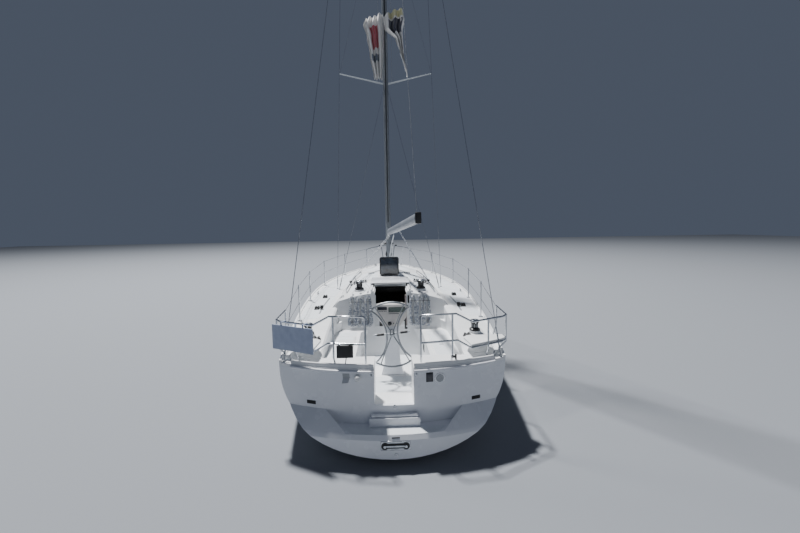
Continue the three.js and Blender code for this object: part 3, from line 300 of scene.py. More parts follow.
finishes = {
    "gelcoat": hullGelcoat(hullPaint),
    # Deck gelcoat: the same resin with a soft satin and orange peel, a little greyer where feet have been
    "deck_gelcoat": mottled(
        "satinGelcoat", "#e6e8ea", "#f2f3f3", (350, 5), (60, 3, (0.3, 0.45)), (9, 2), (0.15, 0.4),
        {"IOR": 1.5, "Coat Weight": 0.15, "Coat Roughness": 0.2},
    ),
    "non_skid": diamondNonSkid(nonSkidLook),
    "smoked_acrylic": smokedAcrylic("tintedAcrylic", "#101418", "#20272d"),
    # Hatch panes: tinted acrylic made paler than the windows' as a painted reflection of the sky
    "pale_acrylic_painted_reflection": smokedAcrylic("tintedAcrylicPaintedReflection", "#12161d", "#3e4652"),
    # Epoxy coated cast iron: dull grey with the casting's pimples and a few rust freckles
    "cast_iron": mottled(
        "coatedCastIron", "#5a5f64", "#7a5238", (120, 6), (40, 3, (0.6, 0.8)), (12, 4), (0.8, 1.0),
        {"Metallic": 0.2}, (-0.9, 0.6),
    ),
    # Eroding underwater paint: matt, rolled on, with faint roller stipple
    "antifouling": mottled(
        "antifoulingPaint", "#3a4450", "#4a5562", (300, 5), (30, 3, (0.7, 0.85)), (6, 2), (0.4, 0.6),
    ),
    # Cast manganese bronze, worn bright on the edges of the blades
    "bronze": mottled(
        "castBronze", "#8a6a35", "#bf9852", (50, 5), (14, 3, (0.28, 0.5)), (5, 3), (0.2, 0.5),
        {"Metallic": 1.0},
    ),
    "grey_plastic": mouldedPlastic("paleGreyAbs", "#a4a7aa", "#b6b9bc", 0.45),
    "warm_plastic": mouldedPlastic("warmWhiteAbs", "#d3cfcb", "#e2deda", 0.42),
    "white_plastic": mouldedPlastic("whiteAbs", "#dcdedf", "#ebecec", 0.4),
    "anodised": anodised("anodisedMast", 2),
    "anodised_across": anodised("anodisedTrack", 1),
    # Powder coated boom: silvery white enamel with a fine even grain, coloured mid grey as painted shade
    "painted_alloy": mottled(
        "silveryEnamelPaintedShade", "#7d8289", "#92979e", (260, 4), (20, 3, (0.3, 0.42)), (1.5, 1), (0.03, 0.4),
        {"Metallic": 0.15, "Coat Weight": 0.2, "Coat Roughness": 0.15},
    ),
    "stainless": stainless("polishedStainless", "#b4b8bd", "#d3d6da", 0.12),
    # Wheel, its cap and the bracket's brace: stainless with a duller polish, its colour darkened as painted
    # shade
    "dull_steel_painted_shade": stainless("dullStainlessPaintedShade", "#74787d", "#93979b", 0.3),
    "black_plastic": mouldedPlastic("blackAcetal", "#131416", "#222428", 0.42),
    "dark_inside": mouldedPlastic("shadowedLining", "#0e0d0c", "#1b1917", 0.8),
    # Notice board: a white foam board, coloured blue grey as painted shade
    "white_board": mouldedPlastic("boardWithPaintedShade", "#9ba7c1", "#afbad0", 0.4),
    "rope": braidedRope("fleckedBraid", "#fbfcfc", "#66748c"),
    "grey_rope": braidedRope("greyBraid", "#a9adb2", "#5d646d"),
    "display": displayGlass("greenDisplay", "#59655f", "#74827a"),
    "dark_display": displayGlass("darkDisplay", "#1b1f2b", "#2c3140"),
    "teak": teak("oiledTeak", "#33271f", "#5c493c"),
    "bleached_teak": teak("bleachedTeak", "#857a78", "#a79d9b"),
    "flag_port": flagCloth("redBandCloth", [
        {"across": (0.3, 0.72), "down": (0.15, 0.5), "colour": "#b3364b"},
        {"across": (0.16, 0.7), "down": (0.6, 0.71), "colour": "#4d5a70"},
    ]),
    "flag_starboard": flagCloth("navyPatchCloth", [
        {"across": (0.22, 0.92), "down": (0.13, 0.35), "colour": "#262a41"},
        {"across": (0.25, 0.95), "down": (0.0, 0.1), "colour": "#cfcb9f"},
    ]),
}
print("materials made")


# Mesh helpers
def settle(obj, finish, body):  # rides on its body, where it has just one, and takes its slot
    obj.data.materials.clear()
    obj.data.materials.append(finishes[finish])
    if body:
        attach(obj, body)
    return obj


def markSmooth(bm, angle):
    for face in bm.faces:
        face.smooth = True
    for edge in bm.edges:
        if len(edge.link_faces) == 2 and edge.calc_face_angle(0) > math.radians(angle):
            edge.smooth = False


def meshObject(name, bm):
    mesh = bpy.data.meshes.new(name)
    bm.to_mesh(mesh)
    bm.free()
    return addToScene(name, mesh)


def finishPiece(name, bm, finish, body="root", smooth=35):
    bmesh.ops.recalc_face_normals(bm, faces=bm.faces)
    markSmooth(bm, smooth)
    return settle(meshObject(name, bm), finish, body)


def openMesh(mesh):
    bm = bmesh.new()
    bm.from_mesh(mesh)
    return bm


def bevelEdges(bm, edges, radius, segments, clamp=False):
    bmesh.ops.bevel(
        bm, geom=edges, offset=radius, segments=segments, profile=0.5, affect="EDGES", material=-1,
        clamp_overlap=clamp,
    )


def plate(halfX, halfY, low, high, radius, segments=2):  # a box about the middle of its seat
    return (-halfX, -halfY, low), (halfX, halfY, high), radius, segments


def boxAt(x, half, y, z, radius, segments=2):  # a box about a place across, from y to y and z to z
    return (x - half, y[0], z[0]), (x + half, y[1], z[1]), radius, segments


def softBox(bm, box, turn=None):  # box with rounded edges
    low, high, radius, segments = box
    low, high = Vector(low), Vector(high)
    place = Matrix.Translation((low + high) / 2) @ Matrix.Diagonal((*(high - low), 1))
    if turn:
        place = turn @ place
    verts = bmesh.ops.create_cube(bm, size=1, matrix=place)["verts"]
    if radius:
        bevelEdges(bm, list({edge for v in verts for edge in v.link_edges}), radius, segments)


def rod(radius, low, high):
    return [(0, low), (radius, low), (radius, high), (0, high)]


def spunShape(bm, profile, place, steps):  # profile of radius and height about Z
    before = set(bm.verts)
    verts = [bm.verts.new((r, 0, h)) for r, h in profile]
    edges = [bm.edges.new(pair) for pair in zip(verts, verts[1:])]
    bmesh.ops.spin(
        bm, geom=verts + edges, cent=(0, 0, 0), axis=skyward, angle=math.tau, steps=steps, use_merge=True
    )
    made = [v for v in bm.verts if v not in before]
    bmesh.ops.remove_doubles(bm, verts=made, dist=1e-6)
    made = [v for v in bm.verts if v not in before]
    bmesh.ops.transform(bm, matrix=place, verts=made)


# each part is a box with its turn, or a profile with its place and steps
def makePiece(name, finish, parts, body="root", smooth=35):
    bm = bmesh.new()
    for part in parts:
        (spunShape if len(part) == 3 else softBox)(bm, *part)
    return finishPiece(name, bm, finish, body, smooth)


def boxPiece(name, finish, boxes, body="root", turn=None):
    return makePiece(name, finish, [(box, turn) for box in boxes], body)


def spunPiece(name, finish, profile, place, steps, body="root"):
    return makePiece(name, finish, [(profile, place, steps)], body)


def pushFaces(bm, faces, move):  # gives faces a thickness
    made = bmesh.ops.extrude_face_region(bm, geom=faces)
    moved = [v for v in made["geom"] if isinstance(v, bmesh.types.BMVert)]
    bmesh.ops.translate(bm, verts=moved, vec=move)


def prism(bm, outline, thickness):  # a flat outline of points, pushed along a vector
    pushFaces(bm, [bm.faces.new([bm.verts.new(p) for p in outline])], thickness)


def pointing(place, direction):  # a matrix whose Z runs along a direction
    return Matrix.Translation(place) @ Vector(direction).to_track_quat("Z", "Y").to_matrix().to_4x4()


def curveLine(name, runs, radius, facets):
    curve = bpy.data.curves.new(name, "CURVE")
    curve.dimensions = "3D"
    curve.bevel_depth = radius
    curve.bevel_resolution = facets
    curve.use_fill_caps = True
    for run in runs:
        spline = curve.splines.new("POLY")
        spline.points.add(len(run) - 1)
        for point, place in zip(spline.points, run):
            point.co = (*place, 1)
    return addToScene(name, curve)


def lineRun(name, runs, radius, finish, body="root", facets=3):  # round bars or lines through points
    maker = curveLine(name, runs, radius, facets)
    mesh = bpy.data.meshes.new_from_object(maker.evaluated_get(bpy.context.evaluated_depsgraph_get()))
    bpy.data.objects.remove(maker)
    bm = openMesh(mesh)
    bmesh.ops.remove_doubles(bm, verts=bm.verts, dist=1e-6)
    return finishPiece(name, bm, finish, body, 50)


def nodeCopy(node):  # the CAD node's own surface, joined up
    bm = openMesh(frame["nodes"][node].data)
    bmesh.ops.remove_doubles(bm, verts=bm.verts, dist=2e-5)
    return bm


def planeCut(bm, place, normal):  # keeps what lies behind the plane
    geom = bm.verts[:] + bm.edges[:] + bm.faces[:]
    bmesh.ops.bisect_plane(bm, geom=geom, dist=1e-6, plane_co=place, plane_no=normal, clear_outer=True)


def bodyOf(node):
    for name, nodes in frame["record"]["behaviour"]["bodies"].items():
        if node in nodes:
            return name
    return "root"


surfaces = {}


def castOn(node, start, direction):  # where a straight line meets a CAD node, and which way it faces there
    if node not in surfaces:
        bm = openMesh(frame["nodes"][node].data)
        surfaces[node] = BVHTree.FromBMesh(bm)
        bm.free()
    return surfaces[node].ray_cast(Vector(start), Vector(direction))[:2]


def onTop(node, x, y, above=3.0):
    return castOn(node, (x, y, above), (0, 0, -1))


def onAft(node, x, z):
    return castOn(node, (x, -7, z), (0, 1, 0))


def seatFrame(place, normal, ahead=(0, 1, 0)):  # local Z stands out of the surface, Y points ahead on it
    z = Vector(normal).normalized()
    x = Vector(ahead).cross(z).normalized()
    return Matrix.Translation(place) @ Matrix((x, z.cross(x), z)).transposed().to_4x4()


def topSeat(node, x, y, ahead=(0, 1, 0)):
    return seatFrame(*onTop(node, x, y), ahead)


def aftSeat(node, x, z):  # local Y points up
    return seatFrame(*onAft(node, x, z), skyward)


# Halyard tails coiled and hung on the cabin bulkhead, three hanks each side of the door
hankRope = {
    "diameter": 0.008, "layers": 6, "turns": 3, "points": 21, "layerStep": 0.0092, "turnStep": 0.0092,
    "half": 0.06, "narrow": 0.74, "top": 0.57, "topStep": 0.012, "foot": 0.045, "footStep": 0.013,
    "firstLayer": 0.008, "exitY": -2.38, "clear": 0.0108, "bend": 0.024, "edgeDrop": 0.0079,
    "hangFrom": 0.012, "droop": 0.012, "wander": 0.004, "sway": (0, 0.014, -0.018, 0.022, -0.008, 0.005),
    "whipping": [(0, -0.02), (0.0046, -0.02), (0.0046, 0.001), (0.003, 0.003), (0, 0.003)],
    "strap": {"half": 0.057, "foot": 0.45, "head": 0.46, "radius": 0.0035},
    "fairlead": (0.019, 0.016, -0.002, 0.024, 0.006),
    "places": {"port": (0.39, 0.52, 0.65), "starboard": (0.374, 0.492, 0.61)},
}
bulkhead = {"footY": -2.7, "footZ": 0.95, "lean": math.atan2(0.22, 0.55), "gap": 0.0005}
quarterTurn = (0, 0.4, 0.8, 1.2, 1.57)


def onBulkhead(x, out, up):  # a place on the leaning bulkhead: across, out from it and up along it
    cos, sin = math.cos(bulkhead["lean"]), math.sin(bulkhead["lean"])
    y = bulkhead["footY"] - bulkhead["gap"] - out * cos + up * sin
    return Vector((x, y, bulkhead["footZ"] + out * sin + up * cos))


def pearTurn(half, top, foot):  # one hanging loop from its top, narrow above and full below
    upper, lower = half * hankRope["narrow"], half
    topMiddle, footMiddle = top - upper, foot + lower
    loop = [(upper * math.sin(a), topMiddle + upper * math.cos(a)) for a in quarterTurn]
    for t in (0.25, 0.5, 0.75):
        loop.append((upper + (lower - upper) * t, topMiddle + (footMiddle - topMiddle) * t))
    for a in (*quarterTurn, 1.94, 2.34, 2.74, 3.14):
        loop.append((lower * math.cos(a), footMiddle - lower * math.sin(a)))
    for t in (0.75, 0.5, 0.25):
        loop.append((-upper - (lower - upper) * t, topMiddle + (footMiddle - topMiddle) * t))
    return loop + [(-upper, topMiddle)]


def coilPoint(x, sign, number, layer, turn, i):  # a point of the coil, after that many layers and turns
    k = hankRope
    wound = turn + i / k["points"]
    inward = wound if layer % 2 == 0 else k["turns"] - wound
    top, foot = k["top"] - inward * k["topStep"], k["foot"] + inward * k["footStep"]
    across, up = pearTurn(k["half"] - inward * k["turnStep"], top, foot)[i]
    drift = layer + wound / k["turns"]
    drop = k["droop"] * math.sin(drift * 1.7 + number * 2.3 + sign) * min(1, drift)
    wander = k["wander"] * math.sin(drift * 2.1 + number) + k["wander"] * math.sin(11 * up + number)
    sway = wander * min(1, drift)
    ease = min(1, i / 6) if layer and turn == 0 else 1  # steps out to its layer near the top
    lean = k["sway"][max(0, layer - 1)] * (1 - ease) + k["sway"][layer] * ease
    out = k["firstLayer"] + layer * k["layerStep"] - k["layerStep"] * (1 - ease)
    return onBulkhead(x + sign * across + sway + lean * min(1, 3 * (k["top"] - up)), out, up + drop)


def hankRoute(sign, middle, number):
    k = hankRope
    x = sign * middle
    roof = onTop("deck", x, k["exitY"])[0].z
    lean, bend = bulkhead["lean"], k["bend"]
    edgeUp = (roof - bulkhead["footZ"]) / math.cos(lean)
    route = [Vector((x, k["exitY"] - step, roof + k["clear"])) for step in (0, 0.025, 0.05)]
    for i in range(5):  # rolls over the edge of the roof
        heading = lean + (math.pi / 2 - lean) * i / 4
        out = k["firstLayer"] - bend + bend * math.sin(heading)
        route.append(onBulkhead(x, out, edgeUp - k["edgeDrop"] + bend * math.cos(heading)))
    upper = k["half"] * k["narrow"]
    fall = k["top"] - upper - edgeUp + k["hangFrom"]
    for t in (0.2, 0.4, 0.6, 0.8):
        across = x + sign * upper * t * t * (3 - 2 * t)
        route.append(onBulkhead(across, k["firstLayer"], edgeUp - k["hangFrom"] + fall * t))
    for layer in range(k["layers"]):
        for turn in range(k["turns"]):
            first = 4 if layer == turn == 0 else 0  # the rope comes in from the roof here
            for i in range(first, k["points"]):
                route.append(coilPoint(x, sign, number, layer, turn, i))
    return route


def makeHank(side, sign, middle, number):
    k = hankRope
    route = hankRoute(sign, middle, number)
    name = f"halyard_tail_{number}_{side}"
    rope = settle(curveLine(name, [route], k["diameter"] / 2, 1), "rope", "root")
    end = pointing(route[-1], (route[-1] - route[-2]).normalized())
    whipping = spunPiece(f"tail_whipping_{number}_{side}", "black_plastic", k["whipping"], end, 12)
    half, foot, head, radius = k["strap"].values()
    out = k["layers"] * k["layerStep"] + 0.01
    strap = [(-half, 0.001, foot), (-half, out, head), (half, out, head), (half, 0.001, foot)]
    runs = [[onBulkhead(sign * middle + a, o, u) for a, o, u in strap]]
    tie = lineRun(f"tail_tie_{number}_{side}", runs, radius, "black_plastic")
    seat = topSeat("deck", sign * middle, k["exitY"] + 0.012)  # fairlead that the tail comes out of
    boxPiece(f"tail_fairlead_{number}_{side}", "stainless", [plate(*k["fairlead"])], "root", seat)
    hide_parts(f"rope_hank_{side}")


for side, sign in sides.items():
    for number, middle in enumerate(hankRope["places"][side], 1):
        makeHank(side, sign, middle, number)
print("cords made")


# Flags hung limp from their halyards: rows of soft folds that take up the cloth's whole width
flags = {
    "port": {
        "flat": (0.95, 1.45), "folds": 3.5,
        "left": [(0, -0.43), (0.12, -0.5), (0.3, -0.42), (0.6, -0.36), (1, -0.27)],
        "right": [(0, -0.045), (0.3, -0.05), (0.6, -0.05), (1, -0.075)],
        "top": [(0, 7.48), (1, 7.58)], "foot": [(0, 6.12), (1, 6.115)],
    },
    "starboard": {
        "flat": (0.95, 1.46), "folds": 3,
        "left": [(0, -0.035), (0.26, 0.0), (0.5, 0.26), (0.75, 0.35), (1, 0.44)],
        "right": [(0, 0.44), (0.12, 0.47), (0.3, 0.42), (0.6, 0.44), (1, 0.52)],
        "top": [(0, 7.54), (0.7, 7.68), (1, 7.66)], "foot": [(0, 6.46), (0.5, 6.3), (1, 6.135)],
    },
}
flagHoist = {
    "columns": 110, "rows": 46, "clothY": 0.682, "ripple": 0.012, "lineX": 0.15, "lineY": 0.702,
    "lineRadius": 0.003, "lineHeights": (6.0, 7.65), "blockY": 0.7584, "blockZ": 10.3,
}


def along(table, t):  # smooth value between the rows of a short table
    for (t0, a), (t1, b) in zip(table, table[1:]):
        if t <= t1 or (t1, b) == table[-1]:
            u = min(1, max(0, (t - t0) / (t1 - t0)))
            return a + (b - a) * u * u * (3 - 2 * u)


def foldDepth(span, width, folds):  # depth of wave that makes a row of cloth as long as the flag is wide
    low, high = 0.0, 0.4
    for _ in range(30):
        depth = (low + high) / 2
        steps = [(span * i / 200, depth * math.sin(math.tau * folds * i / 200)) for i in range(201)]
        length = sum(math.dist(a, b) for a, b in zip(steps, steps[1:]))
        low, high = (depth, high) if length < width else (low, depth)
    return low


def makeFlag(side, sign):
    k, hoist = flags[side], flagHoist
    bm = bmesh.new()
    bmesh.ops.create_grid(
        bm, x_segments=hoist["columns"], y_segments=hoist["rows"], size=0.5, calc_uvs=False
    )
    ownMap = bm.loops.layers.uv.new("cloth")
    for face in bm.faces:
        for loop in face.loops:
            loop[ownMap].uv = (loop.vert.co.x + 0.5, 0.5 - loop.vert.co.y)
    depths = {}
    for v in bm.verts:
        u, t = v.co.x + 0.5, 0.5 - v.co.y
        left, right = along(k["left"], t), along(k["right"], t)
        row = round(t, 4)
        if row not in depths:
            depths[row] = foldDepth(right - left, k["flat"][0], k["folds"])
        wander = 0.5 * math.sin(2.4 * t + 1.3 * sign) + 0.35 * math.sin(5.1 * t)
        y = hoist["clothY"] + depths[row] * math.sin(math.tau * k["folds"] * u + wander)
        top, foot = along(k["top"], u), along(k["foot"], u)
        z = top + (foot - top) * t + hoist["ripple"] * math.sin(9 * u + 2 * t)
        v.co = (left + (right - left) * u, y, z)
    cloth = finishPiece(f"flag_cloth_{side}", bm, f"flag_{side}", smooth=180)
    x = sign * hoist["lineX"]
    run = [(x, hoist["lineY"], z) for z in hoist["lineHeights"]] + [(x, hoist["blockY"], hoist["blockZ"])]
    halyard = lineRun(f"flag_halyard_{side}", [run], hoist["lineRadius"], "grey_rope")
    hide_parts(f"flag_{side}")


for side, sign in sides.items():
    makeFlag(side, sign)
print("flags made")

# Finish of each CAD node: slot, angle up to which its faces read as one curve, and edge rounding in mm
nodeLooks = {
    "hull": ("gelcoat", 28, 0), "deck": ("deck_gelcoat", 28, 0), "cockpit": ("deck_gelcoat", 28, 0),
    "hatch_garage": ("gelcoat", 30, 8), "companionway_hatch": ("smoked_acrylic", 30, 3),
    "saloon_hatch": ("pale_acrylic_painted_reflection", 30, 3), "forward_hatch": ("pale_acrylic_painted_reflection", 30, 3),
    "keel": ("cast_iron", 50, 0), "rudder": ("antifouling", 50, 0), "saildrive": ("grey_plastic", 50, 0),
    "propeller": ("bronze", 40, 0), "engine": ("grey_plastic", 30, 6), "mast": ("anodised", 40, 0),
    "furler": ("anodised", 40, 0), "furler_foil": ("anodised", 40, 0), "stemhead": ("stainless", 40, 0),
    "forestay_head": ("stainless", 50, 0), "boom": ("painted_alloy", 40, 0),
    "boom_end": ("black_plastic", 30, 8), "vang": ("anodised", 50, 0), "gooseneck": ("stainless", 30, 2),
    "vang_foot": ("stainless", 30, 2), "pulpit": ("stainless", 60, 0), "pedestal": ("gelcoat", 30, 14),
    "instrument_pod": ("warm_plastic", 30, 12), "wheel": ("dull_steel_painted_shade", 60, 0),
    "notice_board": ("white_board", 30, 2), "outboard_bracket": ("black_plastic", 30, 3),
}
pairLooks = {
    "locker_lid": ("deck_gelcoat", 30, 4), "cabin_window": ("smoked_acrylic", 30, 0),
    "spreader_lower": ("anodised", 60, 0), "spreader_upper": ("anodised", 60, 0),
    "rail_seat": ("white_plastic", 30, 5), "winch_primary": ("black_plastic", 40, 0),
    "winch_coachroof": ("black_plastic", 40, 0), "wheel_rim": ("dull_steel_painted_shade", 60, 0),
}
for name in ("cap_shroud", "lower_shroud", "backstay", "pushpit", "lifelines", "handrail"):
    pairLooks[name] = ("stainless", 60, 0)
for name, look in pairLooks.items():
    for side in sides:
        nodeLooks[f"{name}_{side}"] = look
roundCorners = {  # plates with round corners: the way they face and the corner radius
    "saloon_hatch": ((0, 1, 0), 0.045), "forward_hatch": ((0, 0.061, 0.998), 0.045),
    "notice_board": ((0, 1, 0), 0.02),
}


def roundPlate(bm, facing, radius):  # rounds the short sharp edges that run through the plate
    edges = [
        e for e in bm.edges
        if e.calc_length() < 0.04 and e.calc_face_angle(0) > 1.2
        and abs((e.verts[1].co - e.verts[0].co).normalized().dot(Vector(facing))) > 0.99
    ]
    bevelEdges(bm, edges, radius, 5)


def dressNode(node, finish, angle, rounding):
    bm = nodeCopy(node)
    bmesh.ops.dissolve_limit(bm, angle_limit=math.radians(0.4), verts=bm.verts, edges=bm.edges)
    if node in roundCorners:
        roundPlate(bm, *roundCorners[node])
    if rounding:
        sharp = math.radians(angle)
        edges = [e for e in bm.edges if len(e.link_faces) == 2 and e.calc_face_angle(0) > sharp]
        bevelEdges(bm, edges, rounding / 1000, 3, clamp=True)
    bmesh.ops.triangulate(bm, faces=[f for f in bm.faces if len(f.verts) > 4])
    markSmooth(bm, angle)
    obj = settle(meshObject(node + "_finish", bm), finish, bodyOf(node))
    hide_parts(node)
    own = frame["nodes"][node].data.materials
    own.clear()
    own.append(finishes[finish])


for node, look in nodeLooks.items():
    dressNode(node, *look)
print("nodes dressed")


# Non-skid panels: patches of the deck's own surface, lifted 1.5 mm, with their corners cut
nonSkidLay = {"lift": 0.0015, "corner": 0.03, "steepest": 0.6}


def nonSkidPatch(name, node, outline, low, high):
    bm = nodeCopy(node)
    bmesh.ops.delete(bm, geom=[f for f in bm.faces if f.normal.z < nonSkidLay["steepest"]], context="FACES")
    for a, b in zip(outline, outline[1:] + outline[:1]):
        edge = Vector((b[0] - a[0], b[1] - a[1], 0))
        planeCut(bm, (a[0], a[1], 0), (edge.y, -edge.x, 0))
    planeCut(bm, (0, 0, high), (0, 0, 1))
    planeCut(bm, (0, 0, low), (0, 0, -1))
    pushFaces(bm, bm.faces[:], (0, 0, nonSkidLay["lift"]))
    finishPiece(name, bm, "non_skid", bodyOf(node), 30)


def clipped(x0, x1, y0, y1):  # rectangle with cut corners, anticlockwise
    c = nonSkidLay["corner"]
    return [
        (x0 + c, y0), (x1 - c, y0), (x1, y0 + c), (x1, y1 - c),
        (x1 - c, y1), (x0 + c, y1), (x0, y1 - c), (x0, y0 + c),
    ]


sideDeckEdges = [  # place, inner and outer half widths of the walkway
    (-2.42, 1.2, 1.6), (-1.6, 1.2, 1.63), (-0.6, 1.19, 1.65), (0.5, 1.12, 1.63), (1.5, 0.92, 1.49),
    (2.4, 0.7, 1.27),
]
pairedPatches = [  # name, node, outline on the starboard side, lowest and highest surface
    ("roof_nonskid_1", "deck", clipped(0.4, 0.74, -1.8, -1.05), 1.35, 1.6),
    ("roof_nonskid_2", "deck", clipped(0.27, 0.68, -0.62, 0.62), 1.35, 1.6),
    ("roof_nonskid_3", "deck", clipped(0.14, 0.56, 0.98, 1.42), 1.35, 1.6),
    ("seat_nonskid", "locker_lid", clipped(0.585, 0.835, -4.22, -3.18), 0.96, 0.97),
    ("seat_fore_nonskid", "cockpit", clipped(0.56, 0.86, -3.1, -2.86), 0.94, 0.96),
    ("foredeck_nonskid", "deck", [(0.06, 3.2), (0.85, 3.2), (0.3, 4.5), (0.06, 4.5)], 1.2, 1.4),
]
for i, ((y0, in0, out0), (y1, in1, out1)) in enumerate(zip(sideDeckEdges, sideDeckEdges[1:]), 1):
    y0, y1 = y0 + 0.03, y1 - 0.03
    outline = [(in0, y0), (out0, y0), (out1, y1), (in1, y1)]
    pairedPatches.append((f"side_deck_nonskid_{i}", "deck", outline, 1.0, 1.3))
middlePatches = [
    ("sole_nonskid_aft", "cockpit", clipped(-0.4, 0.4, -4.36, -3.82), 0.54, 0.56),
    ("sole_nonskid_fore", "cockpit", clipped(-0.4, 0.4, -3.36, -2.84), 0.54, 0.56),
    ("platform_nonskid", "hull", [(-0.45, -5.11), (0.45, -5.11), (0.6, -4.93), (-0.6, -4.93)], 0.36, 0.38),
]
for side, sign in sides.items():
    for name, node, outline, low, high in pairedPatches:
        mirrored = outline if sign > 0 else [(-x, y) for x, y in reversed(outline)]
        ownNode = f"{node}_{side}" if node == "locker_lid" else node
        nonSkidPatch(f"{name}_{side}", ownNode, mirrored, low, high)
for patch in middlePatches:
    nonSkidPatch(*patch)
print("non-skid laid")

# Stern fittings
ladder = {
    "half": 0.165, "z": 0.262, "aft": -5.151, "high": 0.052, "tube": 0.017, "socket": 0.041, "apart": 0.118,
}


def ladderBar(half, out, inward, high, radius):
    k = ladder
    return boxAt(0, half, (k["aft"] - out, k["aft"] + inward), (k["z"] - high, k["z"] + high), radius)


def makeLadder():
    k = ladder
    wide, tube = k["apart"], k["tube"]
    boxPiece("ladder_plate", "stainless", [ladderBar(k["half"], 0.004, 0.012, k["high"], 0.006)])
    # a black plate across the middle of the ladder plate, as painted shade of its recess
    boxPiece("ladder_well_painted_shade", "black_plastic", [ladderBar(wide - 0.03, 0.007, 0, 0.03, 0.002)])
    tubes, sockets = bmesh.new(), bmesh.new()
    softBox(tubes, ladderBar(wide, 0.02, -0.006, 0.012, 0.005))
    tubeEnd = [(0, 0), (tube, 0), (tube, 0.022), (tube - 0.003, 0.025), (0, 0.025)]
    socket = [(0, 0), (k["socket"], 0), (k["socket"], 0.008), (tube + 0.003, 0.01), (0, 0.004)]
    for sign in sides.values():
        spunShape(tubes, tubeEnd, pointing((sign * wide, k["aft"] - 0.002, k["z"]), (0, -1, 0)), 24)
        spunShape(sockets, socket, pointing((sign * wide, k["aft"] - 0.003, k["z"]), (0, -1, 0)), 28)
    finishPiece("ladder_tubes", tubes, "stainless")
    finishPiece("ladder_sockets", sockets, "black_plastic")


sternRounds = [  # name, across, height, radius, finish, standing out
    ("round_plate_ring", 0.54, 0.893, 0.064, "stainless", 0.003),
    ("round_plate", 0.54, 0.893, 0.048, "grey_plastic", 0.006),
    ("gate_drain", 0.003, 0.585, 0.02, "stainless", 0.004),
    ("platform_drain", 0.007, 0.157, 0.018, "stainless", 0.005),
]
sternPlates = [  # name, across, height, plate and finish
    ("blank_plate", 0.417, 0.915, plate(0.042, 0.056, -0.004, 0.006, 0.004), "black_plastic"),
    ("blank_plate_face", 0.417, 0.915, plate(0.034, 0.046, 0.004, 0.009, 0.002), "dark_display"),
    ("platform_slot", 0.004, 0.345, plate(0.045, 0.006, -0.004, 0.003, 0.002), "black_plastic"),
]
inlet = {"x": -0.419, "z": 0.934, "flange": 0.044, "radius": 0.036, "domeFoot": 0.046}
shower = {
    "x": -0.556, "z": 0.925, "lean": 6, "open": 115,
    "box": ((-0.042, -0.004, -0.005), (0.042, 0.054, 0.005), 0.003, 2),
    "flap": ((-0.04, -0.004, 0.0), (0.04, 0.086, 0.008), 0.003, 2),
}
tread = {"half": 0.275, "out": 0.05, "inward": 0.012, "z": (0.474, 0.506), "under": (0.1, 0.49)}
quarterVent = {"x": 0.995, "z": 0.594, "slats": 3, "slatStep": 0.012}
gateFitting = {
    "x": 0.262, "z": 0.96, "foot": plate(0.014, 0.02, -0.004, 0.005, 0.004),
    "pin": [(0, 0), (0.009, 0), (0.009, 0.022), (0.006, 0.028), (0, 0.028)],
}


def makeSternFittings():
    for name, x, z, r, finish, out in sternRounds:
        rim = [(0, -0.006), (r, -0.006), (r, out * 0.6), (r * 0.92, out), (r * 0.62, out)]
        dish = [(r * 0.55, out * 0.7), (0, out * 0.7)]
        spunPiece(name, finish, rim + dish, aftSeat("hull", x, z), 32)
    k = inlet
    r, foot = k["radius"], k["domeFoot"]
    dome = [(r * math.cos(a), foot + r * math.sin(a)) for a in (0, 0.25, 0.5, 0.75, 1.0, 1.25)]
    profile = [(0, -0.004), (k["flange"], -0.004), (k["flange"], 0.004), (r, 0.008), *dome, (0, foot + r)]
    spunPiece("transom_inlet", "white_plastic", profile, aftSeat("hull", k["x"], k["z"]), 32)
    turn = aftSeat("hull", shower["x"], shower["z"]) @ turned(shower["lean"], "Z")  # its flap hangs open
    boxPiece("shower_box", "grey_plastic", [shower["box"]], "root", turn)
    boxPiece("shower_flap", "white_plastic", [shower["flap"]], "root", turn @ turned(shower["open"], "X"))
    wall = onAft("hull", *tread["under"])[0].y  # narrow tread under the gate's sill
    y = wall - tread["out"], wall + tread["inward"]
    boxPiece("gate_tread", "gelcoat", [boxAt(0, tread["half"], y, tread["z"], 0.012, 3)])
    for name, x, z, shape, finish in sternPlates:
        boxPiece(name, finish, [shape], "root", aftSeat("hull", x, z))
    for side, sign in sides.items():
        k = quarterVent
        vent = [plate(0.06, 0.022, -0.004, 0.005, 0.004)]
        for i in range(k["slats"]):
            y = i * k["slatStep"]
            vent.append(((-0.05, -0.015 + y, 0.004), (0.05, -0.009 + y, 0.009), 0.0015, 2))
        turn = aftSeat("hull", sign * k["x"], k["z"])
        boxPiece(f"quarter_vent_{side}", "black_plastic", vent, "root", turn)
        k = gateFitting
        turn = aftSeat("hull", sign * k["x"], k["z"])
        makePiece(f"gate_fitting_{side}", "stainless", [(k["foot"], turn), (k["pin"], turn, 16)])


aftLip = {  # low coaming along the top of the transom, and a bead under it
    "inner": 0.235, "step": 0.078, "rows": 14, "beadZ": 1.004, "beadOut": 0.016, "beadRadius": 0.018,
    "section": (
        (0.01, -0.004), (0.012, 0.036), (0.018, 0.044), (0.038, 0.044), (0.046, 0.034), (0.05, -0.004),
    ),
}
brace = {
    "run": [
        (-0.706, -4.68, 1.09), (-0.69, -4.72, 1.055), (-0.65, -4.74, 1.037),
        (-0.605, -4.74, 1.035), (-0.572, -4.73, 1.062), (-0.556, -4.74, 1.15),
    ],
    "radius": 0.007,
}


